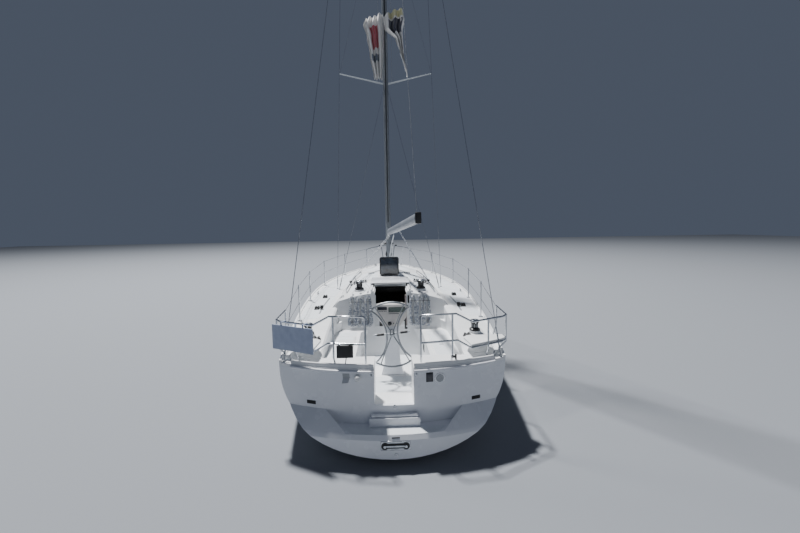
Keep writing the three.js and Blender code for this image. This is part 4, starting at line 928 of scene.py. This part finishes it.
def makeAftLip(side, sign):
    k = aftLip
    bm = bmesh.new()
    rows, bead = [], []
    for i in range(k["rows"]):
        x = sign * (k["inner"] + k["step"] * i)
        edge = onAft("hull", x, 0.9)[0].y
        top = onTop("cockpit", x, edge + 0.03)[0].z
        rows.append([bm.verts.new((x, edge + a, top + b)) for a, b in k["section"]])
        bead.append((x, edge - k["beadOut"], k["beadZ"]))
    for a, b in zip(rows, rows[1:]):
        for j in range(6):
            bm.faces.new((a[j], a[(j + 1) % 6], b[(j + 1) % 6], b[j]))
    bm.faces.new(rows[0])
    bm.faces.new(rows[-1])
    finishPiece(f"aft_lip_{side}", bm, "deck_gelcoat")
    lineRun(f"transom_bead_{side}", [bead], k["beadRadius"], "gelcoat")


makeLadder()
makeSternFittings()
for side, sign in sides.items():
    makeAftLip(side, sign)
lineRun("bracket_brace", [brace["run"]], brace["radius"], "dull_steel_painted_shade")
print("stern fitted")

# Helm: displays, compass and levers on the pod, and the wheel's grips
helm = {
    "displays": {"dark": (-0.2, -0.074, 1.482, 1.516), "green": (-0.04, 0.19, 1.45, 1.512)},
    "finish": {"dark": "dark_display", "green": "display"}, "bezel": 0.006,
    "slot": (-0.045, 0.105, 1.424, 1.431), "keys": {"count": 5, "x": -0.185, "step": 0.024, "wide": 0.014},
    "compass": (-0.032, 1.293, 0.029), "buttons": ((0.0225, 1.296), (0.067, 1.296)),
    "rim": [(-0.212, 1.39), (-0.228, 1.515), (-0.17, 1.545), (0.17, 1.545), (0.228, 1.515), (0.212, 1.39)],
    "button": [(0, -0.004), (0.009, -0.004), (0.009, 0.004), (0.006, 0.008), (0, 0.008)],
    "wheelPlace": (0, -3.84, 1.183), "wheelTurn": -5, "gripX": 0.113, "gripY": -0.008, "capY": -0.059,
    "grip": [(0, 0), (0.014, 0), (0.0175, 0.006), (0.0185, 0.026), (0.0175, 0.052), (0.0185, 0.08),
             (0.0165, 0.103), (0, 0.105)],
    "cap": [(0, 0), (0.034, 0), (0.034, 0.006), (0.024, 0.014), (0.02, 0.028), (0.014, 0.032), (0, 0.032)],
}


def podPlate(bm, x0, x1, z0, z1, thickness, radius):  # a flat plate seated on the pod's sloping face
    shape = plate((x1 - x0) / 2, (z1 - z0) / 2, -0.004, thickness, radius)
    softBox(bm, shape, aftSeat("instrument_pod", (x0 + x1) / 2, (z0 + z1) / 2))


def makePod():
    k = helm
    bm, rim = bmesh.new(), k["bezel"]
    for x0, x1, z0, z1 in k["displays"].values():
        podPlate(bm, x0 - rim, x1 + rim, z0 - rim, z1 + rim, 0.005, 0.002)
    podPlate(bm, *k["slot"], 0.004, 0.001)
    for i in range(k["keys"]["count"]):
        x = k["keys"]["x"] + i * k["keys"]["step"]
        podPlate(bm, x, x + k["keys"]["wide"], 1.455, 1.465, 0.005, 0.002)
    finishPiece("pod_bezels", bm, "black_plastic")
    for name, finish in k["finish"].items():
        bm = bmesh.new()
        podPlate(bm, *k["displays"][name], 0.0065, 0.0015)
        finishPiece(f"pod_display_{name}", bm, finish)
    x, z, r = k["compass"]
    seat = aftSeat("instrument_pod", x, z)
    ring = [(0, -0.01), (r, -0.01), (r, 0.008), (r * 0.85, 0.013), (r * 0.7, 0.011)]
    spunPiece("compass_ring", "black_plastic", ring, seat, 32)
    rises = (0, 0.3, 0.6, 0.9, 1.2, math.pi / 2)
    dome = [(r * 0.72 * math.cos(a), 0.008 + r * 0.5 * math.sin(a)) for a in rises]
    spunPiece("compass_dome", "smoked_acrylic", [(0, 0), (r * 0.72, 0), *dome], seat, 28)
    for i, spot in enumerate(k["buttons"], 1):
        seat = seatFrame(*onAft("instrument_pod", *spot))
        spunPiece(f"pod_button_{i}", "black_plastic", k["button"], seat, 16)
    run = [onAft("instrument_pod", x * 0.985, z)[0] for x, z in k["rim"]]
    lineRun("pod_rim", [run], 0.005, "warm_plastic", facets=2)


throttle = {  # on the starboard side of the pod: a boss, a lever that hangs down and its knob
    "y": -3.62, "z": 1.33, "boss": [(0, -0.01), (0.03, -0.01), (0.028, 0.016), (0.012, 0.022), (0, 0.022)],
    "leverX": (0.012, 0.034), "leverY": (-3.636, -3.604), "leverZ": (1.2, 1.352),
    "knob": [(0, 0), (0.014, 0), (0.016, 0.03), (0.01, 0.042), (0, 0.044)], "knobY": -3.622,
}
switchBox = {
    "y": -3.62, "z": 1.3, "out": 0.03, "inward": 0.02, "yRange": (-3.65, -3.6), "zRange": (1.238, 1.328),
}


def makeControls():  # throttle lever to starboard, a switch box to port, and the wheel's grips and cap
    k = throttle
    wall = castOn("instrument_pod", (2, k["y"], k["z"]), (-1, 0, 0))[0]
    near, far = (wall.x + out for out in k["leverX"])
    (aft, ahead), (foot, head) = k["leverY"], k["leverZ"]
    makePiece("throttle_lever", "black_plastic", [
        (k["boss"], pointing(wall, (1, 0, 0)), 24),
        (((near, aft, foot), (far, ahead, head), 0.006, 2),),
        (k["knob"], pointing((near, k["knobY"], foot), (1, 0, -0.1)), 18),
    ])
    k = switchBox
    x = castOn("instrument_pod", (-2, k["y"], k["z"]), (1, 0, 0))[0].x
    (aft, ahead), (foot, head) = k["yRange"], k["zRange"]
    box = (x - k["out"], aft, foot), (x + k["inward"], ahead, head), 0.006, 2
    boxPiece("switch_box", "black_plastic", [box])
    k = helm
    wheel = Matrix.Translation(k["wheelPlace"]) @ turned(k["wheelTurn"], "Y")
    grips = []
    for sign in sides.values():
        place = wheel @ Matrix.Translation((sign * k["gripX"], k["gripY"], 0)) @ turned(90 * sign, "Y")
        grips.append((k["grip"], place, 20))
    makePiece("wheel_grips", "black_plastic", grips, "wheel", 45)
    place = wheel @ Matrix.Translation((0, k["capY"], 0)) @ turned(90, "X")
    spunPiece("wheel_cap", "dull_steel_painted_shade", k["cap"], place, 28, "wheel")


makePod()
makeControls()
print("helm fitted")

# Hatches: a black frame round each acrylic pane, handles, and the fittings of the cabin's door
foreTilt = math.radians(3.5)
lidCorner = 0.045
hatchFrames = [  # name, body, width, height, band, thickness, seat of its middle
    ("saloon_lid_frame", "saloon_lid", 0.436, 0.416, 0.026, 0.004,
     seatFrame((0, -0.234, 1.76), (0, -1, 0), skyward)),
    ("forward_lid_frame", "forward_lid", 0.496, 0.492, 0.034, 0.003,
     seatFrame((0, 1.7297, 1.5184), (0, math.sin(foreTilt), math.cos(foreTilt)))),
]
steps = {
    "heights": (0.82, 0.58, 0.34, 0.1), "y": -2.56, "back": 0.13, "half": 0.2, "deep": 0.16, "thick": 0.024,
}
doorPlates = [  # name, finish, inner and outer edge, foot and head, standing out, thickness
    ("washboard_lower", "white_plastic", -0.266, 0.266, 0.056, 0.44, -0.016, 0.012),
    ("door_seal", "black_plastic", 0.288, 0.318, 0.44, 0.572, 0.0, -0.008),
]


def lidFrame(name, body, width, height, band, thickness, turn):
    points = []
    for quarter, (sx, sy) in enumerate(((1, -1), (1, 1), (-1, 1), (-1, -1))):
        middle = Vector((sx * (width / 2 - lidCorner), sy * (height / 2 - lidCorner), 0))
        for step in range(6):
            a = math.radians(90 * quarter - 90 + 18 * step)
            points.append(middle + Vector((lidCorner * math.cos(a), lidCorner * math.sin(a), 0)))
    bm = bmesh.new()
    face = bm.faces.new([bm.verts.new(p) for p in points])
    face.normal_update()
    bmesh.ops.inset_region(bm, faces=[face], thickness=band, use_boundary=True, use_even_offset=True)
    inner = max(bm.faces, key=lambda f: len(f.verts))
    bmesh.ops.delete(bm, geom=[inner], context="FACES_ONLY")
    pushFaces(bm, bm.faces[:], (0, 0, thickness))
    bmesh.ops.transform(bm, matrix=turn, verts=bm.verts)
    finishPiece(name, bm, "black_plastic", body, 30)


def doorOutline(inner, outer, foot, head, out=0.0):
    corners = (inner, foot), (outer, foot), (outer, head), (inner, head)
    return [onBulkhead(x, out, up) for x, up in corners]


def makeHatches():
    for lid in hatchFrames:
        lidFrame(*lid)
    handles = []
    for sign in sides.values():  # handles on the face that looks aft when open
        handles.append(boxAt(sign * 0.12, 0.035, (-0.256, -0.234), (1.9, 1.92), 0.005))
        handles.append(boxAt(sign * 0.12, 0.01, (-0.248, -0.234), (1.895, 1.945), 0.003))
    boxPiece("saloon_lid_handles", "black_plastic", handles, "saloon_lid")
    # the white lip across the sliding lid's aft edge takes the grey plastic as painted shade
    lip = boxAt(0, 0.292, (-1.963, -1.9408), (1.562, 1.612), 0.009, 3)
    boxPiece("hood_lip_painted_shade", "grey_plastic", [lip], "companionway_lid")
    boxPiece("cabin_shadow_lining", "dark_inside", [
        boxAt(0, 0.271, (-1.952, -1.9405), (1.452, 1.556), 0.003),  # over the cut edge of the roof
        boxAt(0, 0.75, (-1.47, -1.45), (0.45, 1.38), 0.004),  # a wall behind the steps
    ])


def makeDoor():
    k = steps
    bm = bmesh.new()
    for i, z in enumerate(k["heights"]):
        y = k["y"] + i * k["back"]
        softBox(bm, boxAt(0, k["half"], (y, y + k["deep"]), (z, z + k["thick"]), 0.005))
    for sign in sides.values():
        x = sign * 0.21
        softBox(bm, boxAt(x, 0.012, (-2.58, -2.0), (-0.02, 0.0), 0.004))
        prism(bm, [(x, -2.6, 0.86), (x, -2.44, 0.86), (x, -1.98, -0.02), (x, -2.14, -0.02)], (0.018, 0, 0))
    finishPiece("companionway_steps", bm, "teak")
    for side, sign in sides.items():  # slides for the washboards, of bleached wood to starboard
        bm = bmesh.new()
        inner, finish = (0.244, "bleached_teak") if side == "starboard" else (0.258, "white_plastic")
        shape = doorOutline(sign * inner, sign * 0.2705, 0.054, 0.578)
        prism(bm, shape, (0, 0.014, 0))
        prism(bm, [p + Vector((0, 0.03, 0)) for p in shape], (0, 0.012, 0))
        finishPiece(f"washboard_slide_{side}", bm, finish)
    for name, finish, inner, outer, foot, head, out, thick in doorPlates:
        bm = bmesh.new()
        prism(bm, doorOutline(inner, outer, foot, head, out), (0, thick, 0))
        finishPiece(name, bm, finish)


makeHatches()
makeDoor()
print("hatches framed")

# Deck gear on the coachroof and coamings
clutches = {"port": (-0.75, -0.475), "starboard": (0.49, 0.765), "y": -0.9, "count": 6}
winches = {  # across, along, height of the seat, and the crown's width and height against a plain one
    "primary": {"x": 1.17, "y": -3.8, "seat": 1.1923, "width": 1.25, "height": 1.0, "ribs": "stainless"},
    "coachroof": {
        "x": 0.567, "y": -1.95, "seat": 1.5153, "width": 1.35, "height": 1.1, "ribs": "black_plastic",
    },
}
leads = {"lift": 0.006, "every": 0.12, "pastWinch": 0.115, "radius": 0.0045, "step": 0.03}
organiser = {
    "x": 0.43, "y": 0.4, "sheaves": 4,
    "sheave": [(0, 0), (0.017, 0), (0.013, 0.01), (0.017, 0.021), (0, 0.021)],
}
sheets = {  # mainsheet: foot on the coachroof, head under the boom
    "port": {"foot": (-0.79, -1.0), "head": (0.055, 0.16, 2.478)},
    "starboard": {"foot": (0.79, -1.0), "head": (0.195, -1.22, 2.585)},
    "apart": 0.022, "stand": 0.075, "block": 0.044, "radius": 0.005,
}


def makeClutches(side):
    k = clutches
    x0, x1 = k[side]
    step = (x1 - x0) / k["count"]
    body, lever = bmesh.new(), bmesh.new()
    for i in range(k["count"]):
        turn = topSeat("deck", x0 + step * (i + 0.5), k["y"])
        softBox(body, plate(step / 2 - 0.002, 0.085, -0.004, 0.036, 0.005), turn)
        softBox(lever, ((-step * 0.3, -0.11, 0.03), (step * 0.3, 0.03, 0.052), 0.006, 2), turn)
        pin = turn @ Matrix.Translation((0, 0.04, 0.03)) @ turned(90, "Y")
        spunShape(lever, rod(0.009, -0.5 * step, 0.5 * step), pin, 12)
    finishPiece(f"clutch_bodies_{side}", body, "white_plastic")
    finishPiece(f"clutch_levers_{side}", lever, "black_plastic")


def roofLine(points):  # a line laid over the coachroof, point by point
    run, lift = [], Vector((0, 0, leads["lift"]))
    for (x0, y0), (x1, y1) in zip(points, points[1:]):
        count = max(2, int(math.dist((x0, y0), (x1, y1)) / leads["every"]))
        for i in range(count):
            run.append(onTop("deck", x0 + (x1 - x0) * i / count, y0 + (y1 - y0) * i / count)[0] + lift)
    return run + [onTop("deck", *points[-1])[0] + lift]


def makeLeads(side, sign):
    k, winch, bank = leads, winches["coachroof"]["x"], clutches["y"]
    runs = []
    for i, x in enumerate(hankRope["places"][side]):
        inClutch = sign * (0.52 + 0.085 * i)
        runs.append(roofLine([(sign * (0.4 + k["step"] * i), 0.36), (inClutch, bank + 0.08)]))
        clear = k["pastWinch"] if x > winch else -k["pastWinch"]
        past = sign * (x if abs(x - winch) > k["pastWinch"] else winch + clear)
        tail = sign * x, hankRope["exitY"] + 0.028
        runs.append(roofLine([(inClutch, bank - 0.08), (past, -1.75), (past, -2.12), tail]))
    lineRun(f"halyard_leads_{side}", runs, k["radius"], "rope", facets=2)
    runs = []
    for i in range(3):
        foot = onTop("deck", sign * (0.38 + k["step"] * i), 0.44)[0] + Vector((0, 0, 0.014))
        runs.append([Vector((sign * 0.14, 0.76 + k["step"] * i, 1.59)), foot])
    lineRun(f"mast_foot_leads_{side}", runs, k["radius"], "grey_rope", facets=2)
    k = organiser
    bm, turn = bmesh.new(), topSeat("deck", sign * k["x"], k["y"])
    softBox(bm, plate(0.075, 0.03, -0.003, 0.004, 0.002), turn)
    softBox(bm, plate(0.075, 0.03, 0.024, 0.029, 0.002), turn)
    for i in range(k["sheaves"]):
        spunShape(bm, k["sheave"], turn @ Matrix.Translation((-0.054 + 0.036 * i, 0, 0.003)), 18)
    finishPiece(f"deck_organiser_{side}", bm, "stainless")


def block(bm, place, along, size):  # a sheave between two cheeks
    turn, half = pointing(place, along), size / 2
    for sign in sides.values():
        softBox(bm, boxAt(sign * 0.011, 0.003, (-half, half), (-half, half), size * 0.3, 3), turn)
    sheave = [(0, -0.009), (size * 0.45, -0.009), (size * 0.33, 0), (size * 0.45, 0.009), (0, 0.009)]
    spunShape(bm, sheave, turn @ turned(90, "Y"), 20)
    spunShape(bm, [(0, size * 0.4), (0.006, size * 0.4), (0.006, size), (0, size)], turn, 10)


def makeSheet(side):
    k = sheets
    base, normal = onTop("deck", *k[side]["foot"])
    foot = base + Vector(normal) * k["stand"]
    head = Vector(k[side]["head"])
    along = (head - foot).normalized()
    apart = along.cross(Vector(skyward)).normalized() * k["apart"]
    bm = bmesh.new()
    softBox(bm, plate(0.03, 0.03, -0.004, 0.006, 0.003), seatFrame(base, normal))
    spunShape(bm, rod(0.009, 0, 0.05), pointing(base, foot - base), 12)
    block(bm, foot, -along, k["block"])
    finishPiece(f"sheet_block_low_{side}", bm, "black_plastic")
    bm = bmesh.new()
    block(bm, head, along, k["block"])
    finishPiece(f"sheet_block_high_{side}", bm, "black_plastic", "boom")
    runs = []
    for offset in (-1, 1):
        a, b = foot + apart * offset + along * 0.02, head + apart * offset - along * 0.02
        runs.append([a.lerp(b, i / 16) for i in range(17)])
    line = lineRun(f"mainsheet_{side}", runs, k["radius"], "rope", None, 2)
    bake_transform(line)


rigLines = [  # name, start and end to starboard, radius and finish of a pair of straight lines
    ("diagonal_stays", (1.045, 0.33, 6.11), (0.066, 0.85, 10.24), 0.003, "stainless"),
    ("spare_halyards", (0.03, 0.755, 2.2), (0.03, 0.755, 15.4), 0.005, "grey_rope"),
]
straightLines = [  # name, start, end, radius, finish and body
    ("topping_lift", (0.405, -3.33, 2.83), (0, 0.71, 15.52), 0.003, "grey_rope", "boom"),
    ("masthead_aerial", (0, 0.97, 15.63), (0, 0.97, 16.0), 0.004, "white_plastic", "root"),
]
mastFoot = {"blocks": 4, "radius": 0.15, "y": 0.85, "z": 1.575}
mastCleat = {
    "pad": (0.066, 0.006, (0.80, 0.84), (1.9, 2.02), 0.004),
    "horn": (0.082, 0.012, (0.77, 0.87), (1.95, 1.965), 0.006),
    "drum": [(0, 0), (0.034, 0), (0.026, 0.012), (0.026, 0.05), (0.034, 0.06), (0, 0.064)],
    "drumAt": (0.06, 0.86, 2.22),
}
masthead = {
    "crane": boxAt(0, 0.02, (0.5, 1.05), (15.54, 15.6), 0.008),
    "lamp": boxAt(0, 0.03, (0.93, 1.0), (15.6, 15.64), 0.006),
    "cap": [(0, 0), (0.03, 0), (0.032, 0.04), (0.02, 0.055), (0, 0.058)], "capAt": (0, 0.85, 15.6),
}
mastBoxes = {  # finish and boxes
    "mast_track": ("black_plastic", [boxAt(0, 0.011, (0.754, 0.7625), (2.75, 15.35), 0.002)]),
    "mast_collar": ("stainless", [
        boxAt(0, 0.1, (0.72, 0.98), (1.53, 1.542), 0.004),
        boxAt(0, 0.08, (0.74, 0.96), (1.542, 1.56), 0.006),
    ]),
    "steaming_light": ("black_plastic", [boxAt(0, 0.05, (0.94, 1.0), (10.9, 10.96), 0.012)]),
}


def makeMastGear():
    for name, (x0, y0, z0), (x1, y1, z1), radius, finish in rigLines:
        runs = [[(sign * x0, y0, z0), (sign * x1, y1, z1)] for sign in sides.values()]
        lineRun(name, runs, radius, finish, facets=2)
    for name, start, end, radius, finish, body in straightLines:
        lineRun(name, [[start, end]], radius, finish, body, 2)
    for name, (finish, boxes) in mastBoxes.items():
        boxPiece(name, finish, boxes)
    parts, k = [], mastCleat
    x, y, z = k["drumAt"]
    for sign in sides.values():
        for across, *rest in (k["pad"], k["horn"]):
            parts.append((boxAt(sign * across, *rest),))
        parts.append((k["drum"], pointing((sign * x, y, z), (sign, 0, 0)), 24))
    makePiece("mast_cleats", "black_plastic", parts)
    bm, k = bmesh.new(), mastFoot
    for i in range(k["blocks"]):
        angle = math.radians(45 + 90 * i)
        across, ahead = math.cos(angle), math.sin(angle)
        place = Vector((k["radius"] * across, k["y"] + k["radius"] * ahead, k["z"]))
        block(bm, place, (across, ahead, 0.2), 0.05)
    finishPiece("mast_foot_blocks", bm, "black_plastic")
    k = masthead
    parts = [(k["crane"],), (k["lamp"],), (k["cap"], Matrix.Translation(k["capAt"]), 20)]
    makePiece("masthead_fitting", "anodised", parts)


def makeWinch(name, side, sign):
    k = winches[name]
    wide, high, body = k["width"], k["height"], f"winch_{name}_{side}"
    seat = Matrix.Translation((sign * k["x"], k["y"], k["seat"]))
    top = seat @ Matrix.Translation((0, 0, 0.138 * high))
    r = 0.052 * wide
    profile = [
        (0.012, 0.003), (0.02, 0.001), (r * 0.8, 0.001), (r, -0.004), (r * 1.01, 0.004), (r * 0.86, 0.012),
        (0.022, 0.013), (0.014, 0.008), (0.012, 0.003),
    ]
    bm = bmesh.new()
    spunShape(bm, profile, top, 32)
    softBox(bm, ((-0.008, -r - 0.014, -0.03), (0.008, -r + 0.012, 0.006), 0.003, 2), top)
    finishPiece(f"winch_crown_{name}_{side}", bm, "stainless", body)
    bm = bmesh.new()
    for i in range(14):  # gripping ribs round the drum
        rib = (0.037 * wide, -0.003, 0.045 * high), (0.041 * wide, 0.003, 0.09 * high), 0, 1
        softBox(bm, rib, seat @ Matrix.Rotation(math.tau * i / 14, 4, "Z"))
    finishPiece(f"winch_ribs_{name}_{side}", bm, k["ribs"], body)


cleats = [  # name, node, across, along, heading
    ("stern_cleat", "cockpit", 1.27, -4.46, 0.4), ("bow_cleat", "deck", 0.42, 4.3, -0.5),
    ("midship_cleat", "deck", 1.62, -0.2, 0.02),
]
jammers = [
    ("coaming_jammer", "cockpit", 1.035, -3.99, -0.15), ("sheet_fairlead_1", "deck", 1.397, -0.631, 0),
    ("sheet_fairlead_2", "deck", 1.403, -1.667, 0), ("sheet_fairlead_3", "deck", 1.12, -2.62, 0),
]
cleatSize = 0.1
track = {"points": ((1.3, -2.05), (1.315, -1.4), (1.29, -0.75)), "car": (1.307, -1.72)}


def headedSeat(node, x, y, heading):
    return topSeat(node, x, y, (math.sin(heading), math.cos(heading), 0))


def makeCleat(name, node, x, y, heading):
    bm, turn = bmesh.new(), headedSeat(node, x, y, heading)
    foot = [(0, -0.002), (0.016, -0.002), (0.01, 0.01), (0.009, 0.034), (0, 0.034)]
    for sign in sides.values():
        spunShape(bm, foot, turn @ Matrix.Translation((0, sign * cleatSize * 0.36, 0)), 16)
    softBox(bm, plate(0.009, cleatSize, 0.032, 0.048, 0.0075, 3), turn)
    finishPiece(name, bm, "stainless")


def makeJammer(name, node, x, y, heading):
    bm, turn = bmesh.new(), headedSeat(node, x, y, heading)
    softBox(bm, plate(0.05, 0.07, -0.004, 0.02, 0.008), turn)
    softBox(bm, ((-0.04, -0.06, 0.018), (-0.012, 0.06, 0.055), 0.008, 2), turn)
    softBox(bm, ((0.012, -0.06, 0.018), (0.04, 0.06, 0.055), 0.008, 2), turn)
    pin = turn @ Matrix.Translation((0, 0.03, 0.035)) @ turned(90, "Y")
    spunShape(bm, rod(0.014, -0.045, 0.045), pin, 16)
    finishPiece(name, bm, "black_plastic")


def makeTrack(side, sign):  # genoa track with its car on the side deck
    points = [(sign * x, y) for x, y in track["points"]]
    bm = bmesh.new()
    for (x0, y0), (x1, y1) in zip(points, points[1:]):
        turn = topSeat("deck", (x0 + x1) / 2, (y0 + y1) / 2, (x1 - x0, y1 - y0, 0))
        half = math.dist((x0, y0), (x1, y1)) / 2 + 0.001
        softBox(bm, plate(0.014, half, -0.004, 0.009, 0.002), turn)
    finishPiece(f"genoa_track_{side}", bm, "anodised_across")
    x, y = track["car"]
    place, normal = onTop("deck", sign * x, y)
    bm = bmesh.new()
    softBox(bm, plate(0.025, 0.05, 0.006, 0.024, 0.006), seatFrame(place, normal))
    block(bm, place + Vector((0, 0, 0.055)), (0, -0.4, -1), 0.06)
    finishPiece(f"genoa_car_{side}", bm, "black_plastic")


for side, sign in sides.items():
    makeClutches(side)
    makeLeads(side, sign)
    makeSheet(side)
    makeTrack(side, sign)
    for maker, fittings in ((makeCleat, cleats), (makeJammer, jammers)):
        for name, node, x, y, heading in fittings:
            maker(f"{name}_{side}", node, sign * x, y, heading * sign)
    for name in winches:
        makeWinch(name, side, sign)
makeMastGear()
print("deck gear fitted")


# Chainplates, coachroof grab handles, cockpit panels and the bow
chainplates = (("deck", 1.24, 0.33), ("deck", 1.18, 0.24), ("cockpit", 1.35, -4.484))
grabHandle = {"ends": ((1.06, -2.22), (0.83, -2.25)), "lift": 0.045, "radius": 0.009}
cheek = [(4.78, 1.357), (5.16, 1.357), (5.16, 1.41), (4.95, 1.42)]


def makeGrabHandle(side, sign):
    k = grabHandle
    a, b = (onTop("deck", sign * x, y)[0] for x, y in k["ends"])
    lift = Vector((0, 0, k["lift"]))
    run = [a, a + lift * 0.7, a.lerp(b, 0.12) + lift, a.lerp(b, 0.88) + lift, b + lift * 0.7, b]
    lineRun(f"grab_handle_{side}", [run], k["radius"], "stainless")


def makeTrim():
    plates, drains = bmesh.new(), bmesh.new()
    drain = [(0, 0.001), (0.028, 0.001), (0.028, 0.004), (0.018, 0.005), (0, 0.003)]
    for side, sign in sides.items():
        for node, x, y in chainplates:
            seat = seatFrame(*onTop(node, sign * x, y, 1.2))
            softBox(plates, plate(0.02, 0.045, -0.002, 0.006, 0.002), seat)
        spunShape(drains, drain, topSeat("cockpit", sign * 0.3, -4.3), 24)
        makeGrabHandle(side, sign)
        pull = boxAt(sign * 0.71, 0.03, (-3.705, -3.685), (0.9638, 0.97), 0.002)
        boxPiece(f"locker_pull_{side}", "stainless", [pull], f"locker_{side}")
        light = boxAt(sign * 0.28, 0.03, (4.86, 4.93), (1.93, 1.985), 0.01)
        boxPiece(f"bow_light_{side}", "black_plastic", [light])
    finishPiece("chainplates", plates, "stainless")
    finishPiece("sole_drains", drains, "stainless")
    turn = seatFrame(*castOn("cockpit", (0, -3.2, 0.78), (1, 0, 0)), skyward)  # low in the side of the well
    boxPiece("engine_panel", "black_plastic", [plate(0.09, 0.06, -0.004, 0.01, 0.006)], "root", turn)
    boxPiece("post_clip", "black_plastic", [  # clip for a boathook on the starboard post
        ((0.694, -4.72, 1.1), (0.75, -4.655, 1.115), 0.005, 2),
        ((0.735, -4.73, 1.055), (0.757, -4.71, 1.15), 0.006, 2),
    ])
    roller, anchor = bmesh.new(), bmesh.new()
    softBox(anchor, boxAt(0, 0.012, (4.5, 5.14), (1.44, 1.47), 0.006))
    for sign in sides.values():
        prism(roller, [(sign * 0.05, y, z) for y, z in cheek], (0.006 * sign, 0, 0))
        fluke = [(0, 5.06, 1.43), (sign * 0.13, 4.98, 1.37), (sign * 0.02, 5.155, 1.3)]
        prism(anchor, fluke, (0, 0, 0.012))
    wheel = [(0, -0.045), (0.03, -0.045), (0.02, 0), (0.03, 0.045), (0, 0.045)]
    spunShape(roller, wheel, pointing((0, 5.1, 1.392), (1, 0, 0)), 20)
    finishPiece("bow_roller", roller, "stainless")
    finishPiece("anchor", anchor, "stainless")


makeTrim()
print("trim fitted")

# Lights and floor
lights = [  # name, place, size, watts, aimed at
    ("key_light", (-10.9, 15.9, 48.2), 3, 66000, (0, -2.6, 0.8)),
    ("fill_light", (5, -14, 6), 8, 60, (0, -3, 1)),
]
studio = {"air": "#b3c3e2", "glow": 0.165, "floor": "#82868c", "floorSize": 60}


def makeStage():
    world = bpy.data.worlds.new("studio")
    bpy.context.scene.world = world
    world.use_nodes = True
    back = world.node_tree.nodes["Background"]
    back.inputs[0].default_value = linearColour(studio["air"])
    back.inputs[1].default_value = studio["glow"]
    for name, place, size, watts, target in lights:
        data = bpy.data.lights.new(name, "AREA")
        data.size = size
        data.energy = watts
        aim = Vector(target) - Vector(place)
        turn = aim.to_track_quat("-Z", "Y").to_matrix().to_4x4()
        addToScene(name, data).matrix_world = Matrix.Translation(place) @ turn
    bm = bmesh.new()
    bmesh.ops.create_grid(bm, x_segments=2, y_segments=2, size=studio["floorSize"])
    floor = meshObject("floor", bm)
    material = startMaterial("floorPaint")[0]
    floor.data.materials.append(finishMaterial(material, {"Base Color": studio["floor"], "Roughness": 0.9}))


makeStage()
print("stage set")
